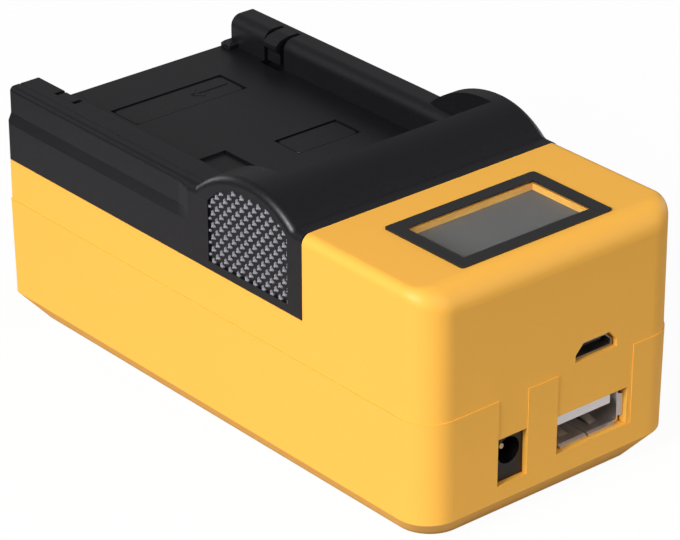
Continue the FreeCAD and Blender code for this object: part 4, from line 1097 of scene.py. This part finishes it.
@dataclass(frozen=True)
class PaleFloor:
    """Plain floor that looks nearly white and keeps a faint shadow.

    The object itself sees a grey mat that fades out around it. Seen from below the floor is clear,
    and it lets the sky reach the base that stands on it.
    """

    background: WhiteBackground
    side: float = 6.0
    gap: float = 0.00005
    reach: float = 0.001
    mat_half: Pair = (0.025, 0.05)
    mat_fade: Pair = (0.075, 0.115)
    mat_grey: float = 0.4
    far_grey: float = 0.0
    white: float = 0.95
    glow: float = 0.96
    roughness: float = 0.9

    def distance(self, tree: bpy.types.NodeTree) -> bpy.types.NodeSocket:
        """Measure how far a point of the floor lies from the mat.

        Args:
            tree: The material's node tree.

        Returns:
            The distance's socket, in metres.
        """
        zero = (0.0, 0.0, 0.0)
        value = tree.nodes.new("ShaderNodeTexCoord").outputs["Object"]
        for operation, other in (
            ("ABSOLUTE", zero),
            ("SUBTRACT", (*self.mat_half, 1.0)),
            ("MAXIMUM", zero),
            ("LENGTH", zero),
        ):
            step = tree.nodes.new("ShaderNodeVectorMath")
            step.operation = operation
            step.inputs[1].default_value = other
            tree.links.new(value, step.inputs[0])
            value = step.outputs["Value" if operation == "LENGTH" else "Vector"]
        return value

    def colour(self, material: bpy.types.Material, seen: bpy.types.NodeSocket) -> bpy.types.NodeSocket:
        """Colour the floor: white where the background is seen, and the fading mat otherwise.

        Args:
            material: The floor's material.
            seen: How much of the white background a ray sees.

        Returns:
            The colour's socket.
        """
        tree = material.node_tree
        fade = tree.nodes.new("ShaderNodeMapRange")
        fade.inputs["From Min"].default_value = self.mat_fade[0]
        fade.inputs["From Max"].default_value = self.mat_fade[1]
        tree.links.new(self.distance(tree), fade.inputs["Value"])
        mat = blend(material, fade.outputs["Result"], (self.mat_grey,) * 3, (self.far_grey,) * 3)
        mix = tree.nodes.new("ShaderNodeMix")
        mix.data_type = "RGBA"
        mix.inputs[MIX_SECOND].default_value = (*(self.white,) * 3, 1.0)
        tree.links.new(seen, mix.inputs[MIX_SHARE])
        tree.links.new(mat, mix.inputs[MIX_FIRST])
        return mix.outputs[MIX_RESULT]

    def material(self) -> bpy.types.Material:
        """Make the floor's material.

        Returns:
            The finished material.
        """
        material, shader = new_material("floor_white")
        tree = material.node_tree
        seen = self.background.mask(tree)
        shader.inputs["Roughness"].default_value = self.roughness
        shader.inputs["Specular IOR Level"].default_value = 0.0
        tree.links.new(self.colour(material, seen), shader.inputs["Base Color"])
        glow = tree.nodes.new("ShaderNodeEmission")
        glow.inputs["Color"].default_value = PURE_WHITE
        glow.inputs["Strength"].default_value = 1.0
        share = math_value(tree, "MULTIPLY", seen, self.glow)
        above = mixed_shader(tree, share, shader.outputs["BSDF"], glow.outputs["Emission"])
        path = tree.nodes.new("ShaderNodeLightPath")
        near = math_value(tree, "LESS_THAN", path.outputs["Ray Length"], self.reach)
        below = tree.nodes.new("ShaderNodeNewGeometry").outputs["Backfacing"]
        clear = tree.nodes.new("ShaderNodeBsdfTransparent")
        open_floor = math_value(tree, "MAXIMUM", near, below)
        surface = mixed_shader(tree, open_floor, above, clear.outputs["BSDF"])
        tree.links.new(surface, tree.nodes["Material Output"].inputs["Surface"])
        return material

    def lay(self) -> None:
        """Lay the floor under the charger as a part of the stage."""
        deselect_all()
        bpy.ops.mesh.primitive_plane_add(size=self.side, location=(0.0, 0.0, -self.gap))
        floor = bpy.context.object
        floor.name = "floor"
        floor.data.materials.append(self.material())


@dataclass(frozen=True)
class SoftLamp:
    """Square soft lamp that points at the charger."""

    name: str
    at: Place
    side: float
    watts: float
    aim: Place = (0.0, 0.0, 0.02)

    def hang(self) -> None:
        """Add the lamp to the scene."""
        data = bpy.data.lights.new(self.name, "AREA")
        data.size = self.side
        data.energy = self.watts
        lamp = bpy.data.objects.new(self.name, data)
        lamp.location = self.at
        way = Vector(self.aim) - Vector(self.at)
        lamp.rotation_euler = way.to_track_quat("-Z", "Y").to_euler()
        bpy.context.scene.collection.objects.link(lamp)


LAMPS = (
    SoftLamp("key", (-0.8, -0.15, 0.5), 0.75, 3.1),
    SoftLamp("key_core", (-0.792, -0.148, 0.495), 0.36, 8.6),
    SoftLamp("front", (0.25, -0.8, 0.45), 0.5, 2.7),
    SoftLamp("rear", (0.69, 0.82, 0.54), 0.8, 0.12),
    SoftLamp("right_fill", (0.95, 0.04, 0.15), 0.4, 2.0),
    SoftLamp("rear_fill", (-0.1, 0.95, 0.15), 0.4, 1.2),
)


@dataclass(frozen=True)
class PhotoCamera:
    """Camera at the photograph's angle and distance."""

    at: Place = (-0.314204, -0.376934, 0.266566)
    yaw_deg: float = 39.942
    pitch_deg: float = 26.798
    roll_deg: float = -0.197
    focal_px: float = 3563.883
    photo_width_px: int = 680
    sensor_mm: float = 36.0
    clip: Pair = (0.01, 20.0)

    def turn(self) -> Matrix:
        """Work out how the camera is turned.

        Returns:
            The rotation, with the camera's view along its -Z axis.
        """
        yaw, pitch, roll = (math.radians(v) for v in (self.yaw_deg, self.pitch_deg, self.roll_deg))
        ahead = Vector((math.sin(yaw), math.cos(yaw), 0.0))
        forward = ahead * math.cos(pitch) - Vector((0.0, 0.0, math.sin(pitch)))
        right = Vector((math.cos(yaw), -math.sin(yaw), 0.0))
        up = right.cross(forward)
        right_turned = right * math.cos(roll) + up * math.sin(roll)
        up_turned = up * math.cos(roll) - right * math.sin(roll)
        return Matrix((right_turned, up_turned, -forward)).transposed().to_4x4()

    def place(self) -> None:
        """Add the camera and make it the scene's own."""
        data = bpy.data.cameras.new("photo_camera")
        data.sensor_width = self.sensor_mm
        data.lens = self.focal_px / self.photo_width_px * self.sensor_mm
        data.clip_start, data.clip_end = self.clip
        camera = bpy.data.objects.new("photo_camera", data)
        bpy.context.scene.collection.objects.link(camera)
        camera.matrix_world = Matrix.Translation(Vector(self.at)) @ self.turn()
        bpy.context.scene.camera = camera


@dataclass
class Studio:
    """Floor, sky, soft lamps and camera."""

    background: WhiteBackground = WhiteBackground()
    sky_strength: float = 0.14

    def sky(self) -> None:
        """Make a dim even sky with a white backdrop."""
        world = bpy.data.worlds.new("studio")
        world.use_nodes = True
        tree = world.node_tree
        sky = tree.nodes["Background"]
        backdrop = tree.nodes.new("ShaderNodeBackground")
        for shader, strength in ((sky, self.sky_strength), (backdrop, 1.0)):
            shader.inputs["Color"].default_value = PURE_WHITE
            shader.inputs["Strength"].default_value = strength
        seen = self.background.mask(tree)
        surface = mixed_shader(tree, seen, sky.outputs["Background"], backdrop.outputs["Background"])
        tree.links.new(surface, tree.nodes["World Output"].inputs["Surface"])
        bpy.context.scene.world = world

    def build(self) -> None:
        """Set up the whole studio."""
        PaleFloor(self.background).lay()
        for lamp in LAMPS:
            lamp.hang()
        self.sky()
        PhotoCamera().place()
        bpy.context.scene.view_settings.view_transform = "Standard"
        log.info("studio ready with %d lamps", len(LAMPS))


def main() -> None:
    """Build the dressed charger and its studio."""
    logging.basicConfig(level=logging.INFO, format="%(message)s")
    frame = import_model()
    materials = Dressing(frame).dress()
    GripStuds(materials[Slot.BLACK.value], STUD_PAINTED_SHEEN.build()).build()
    PanelMarks(materials[Slot.BLACK.value]).build()
    Studio().build()


if __name__ == "__main__":
    main()
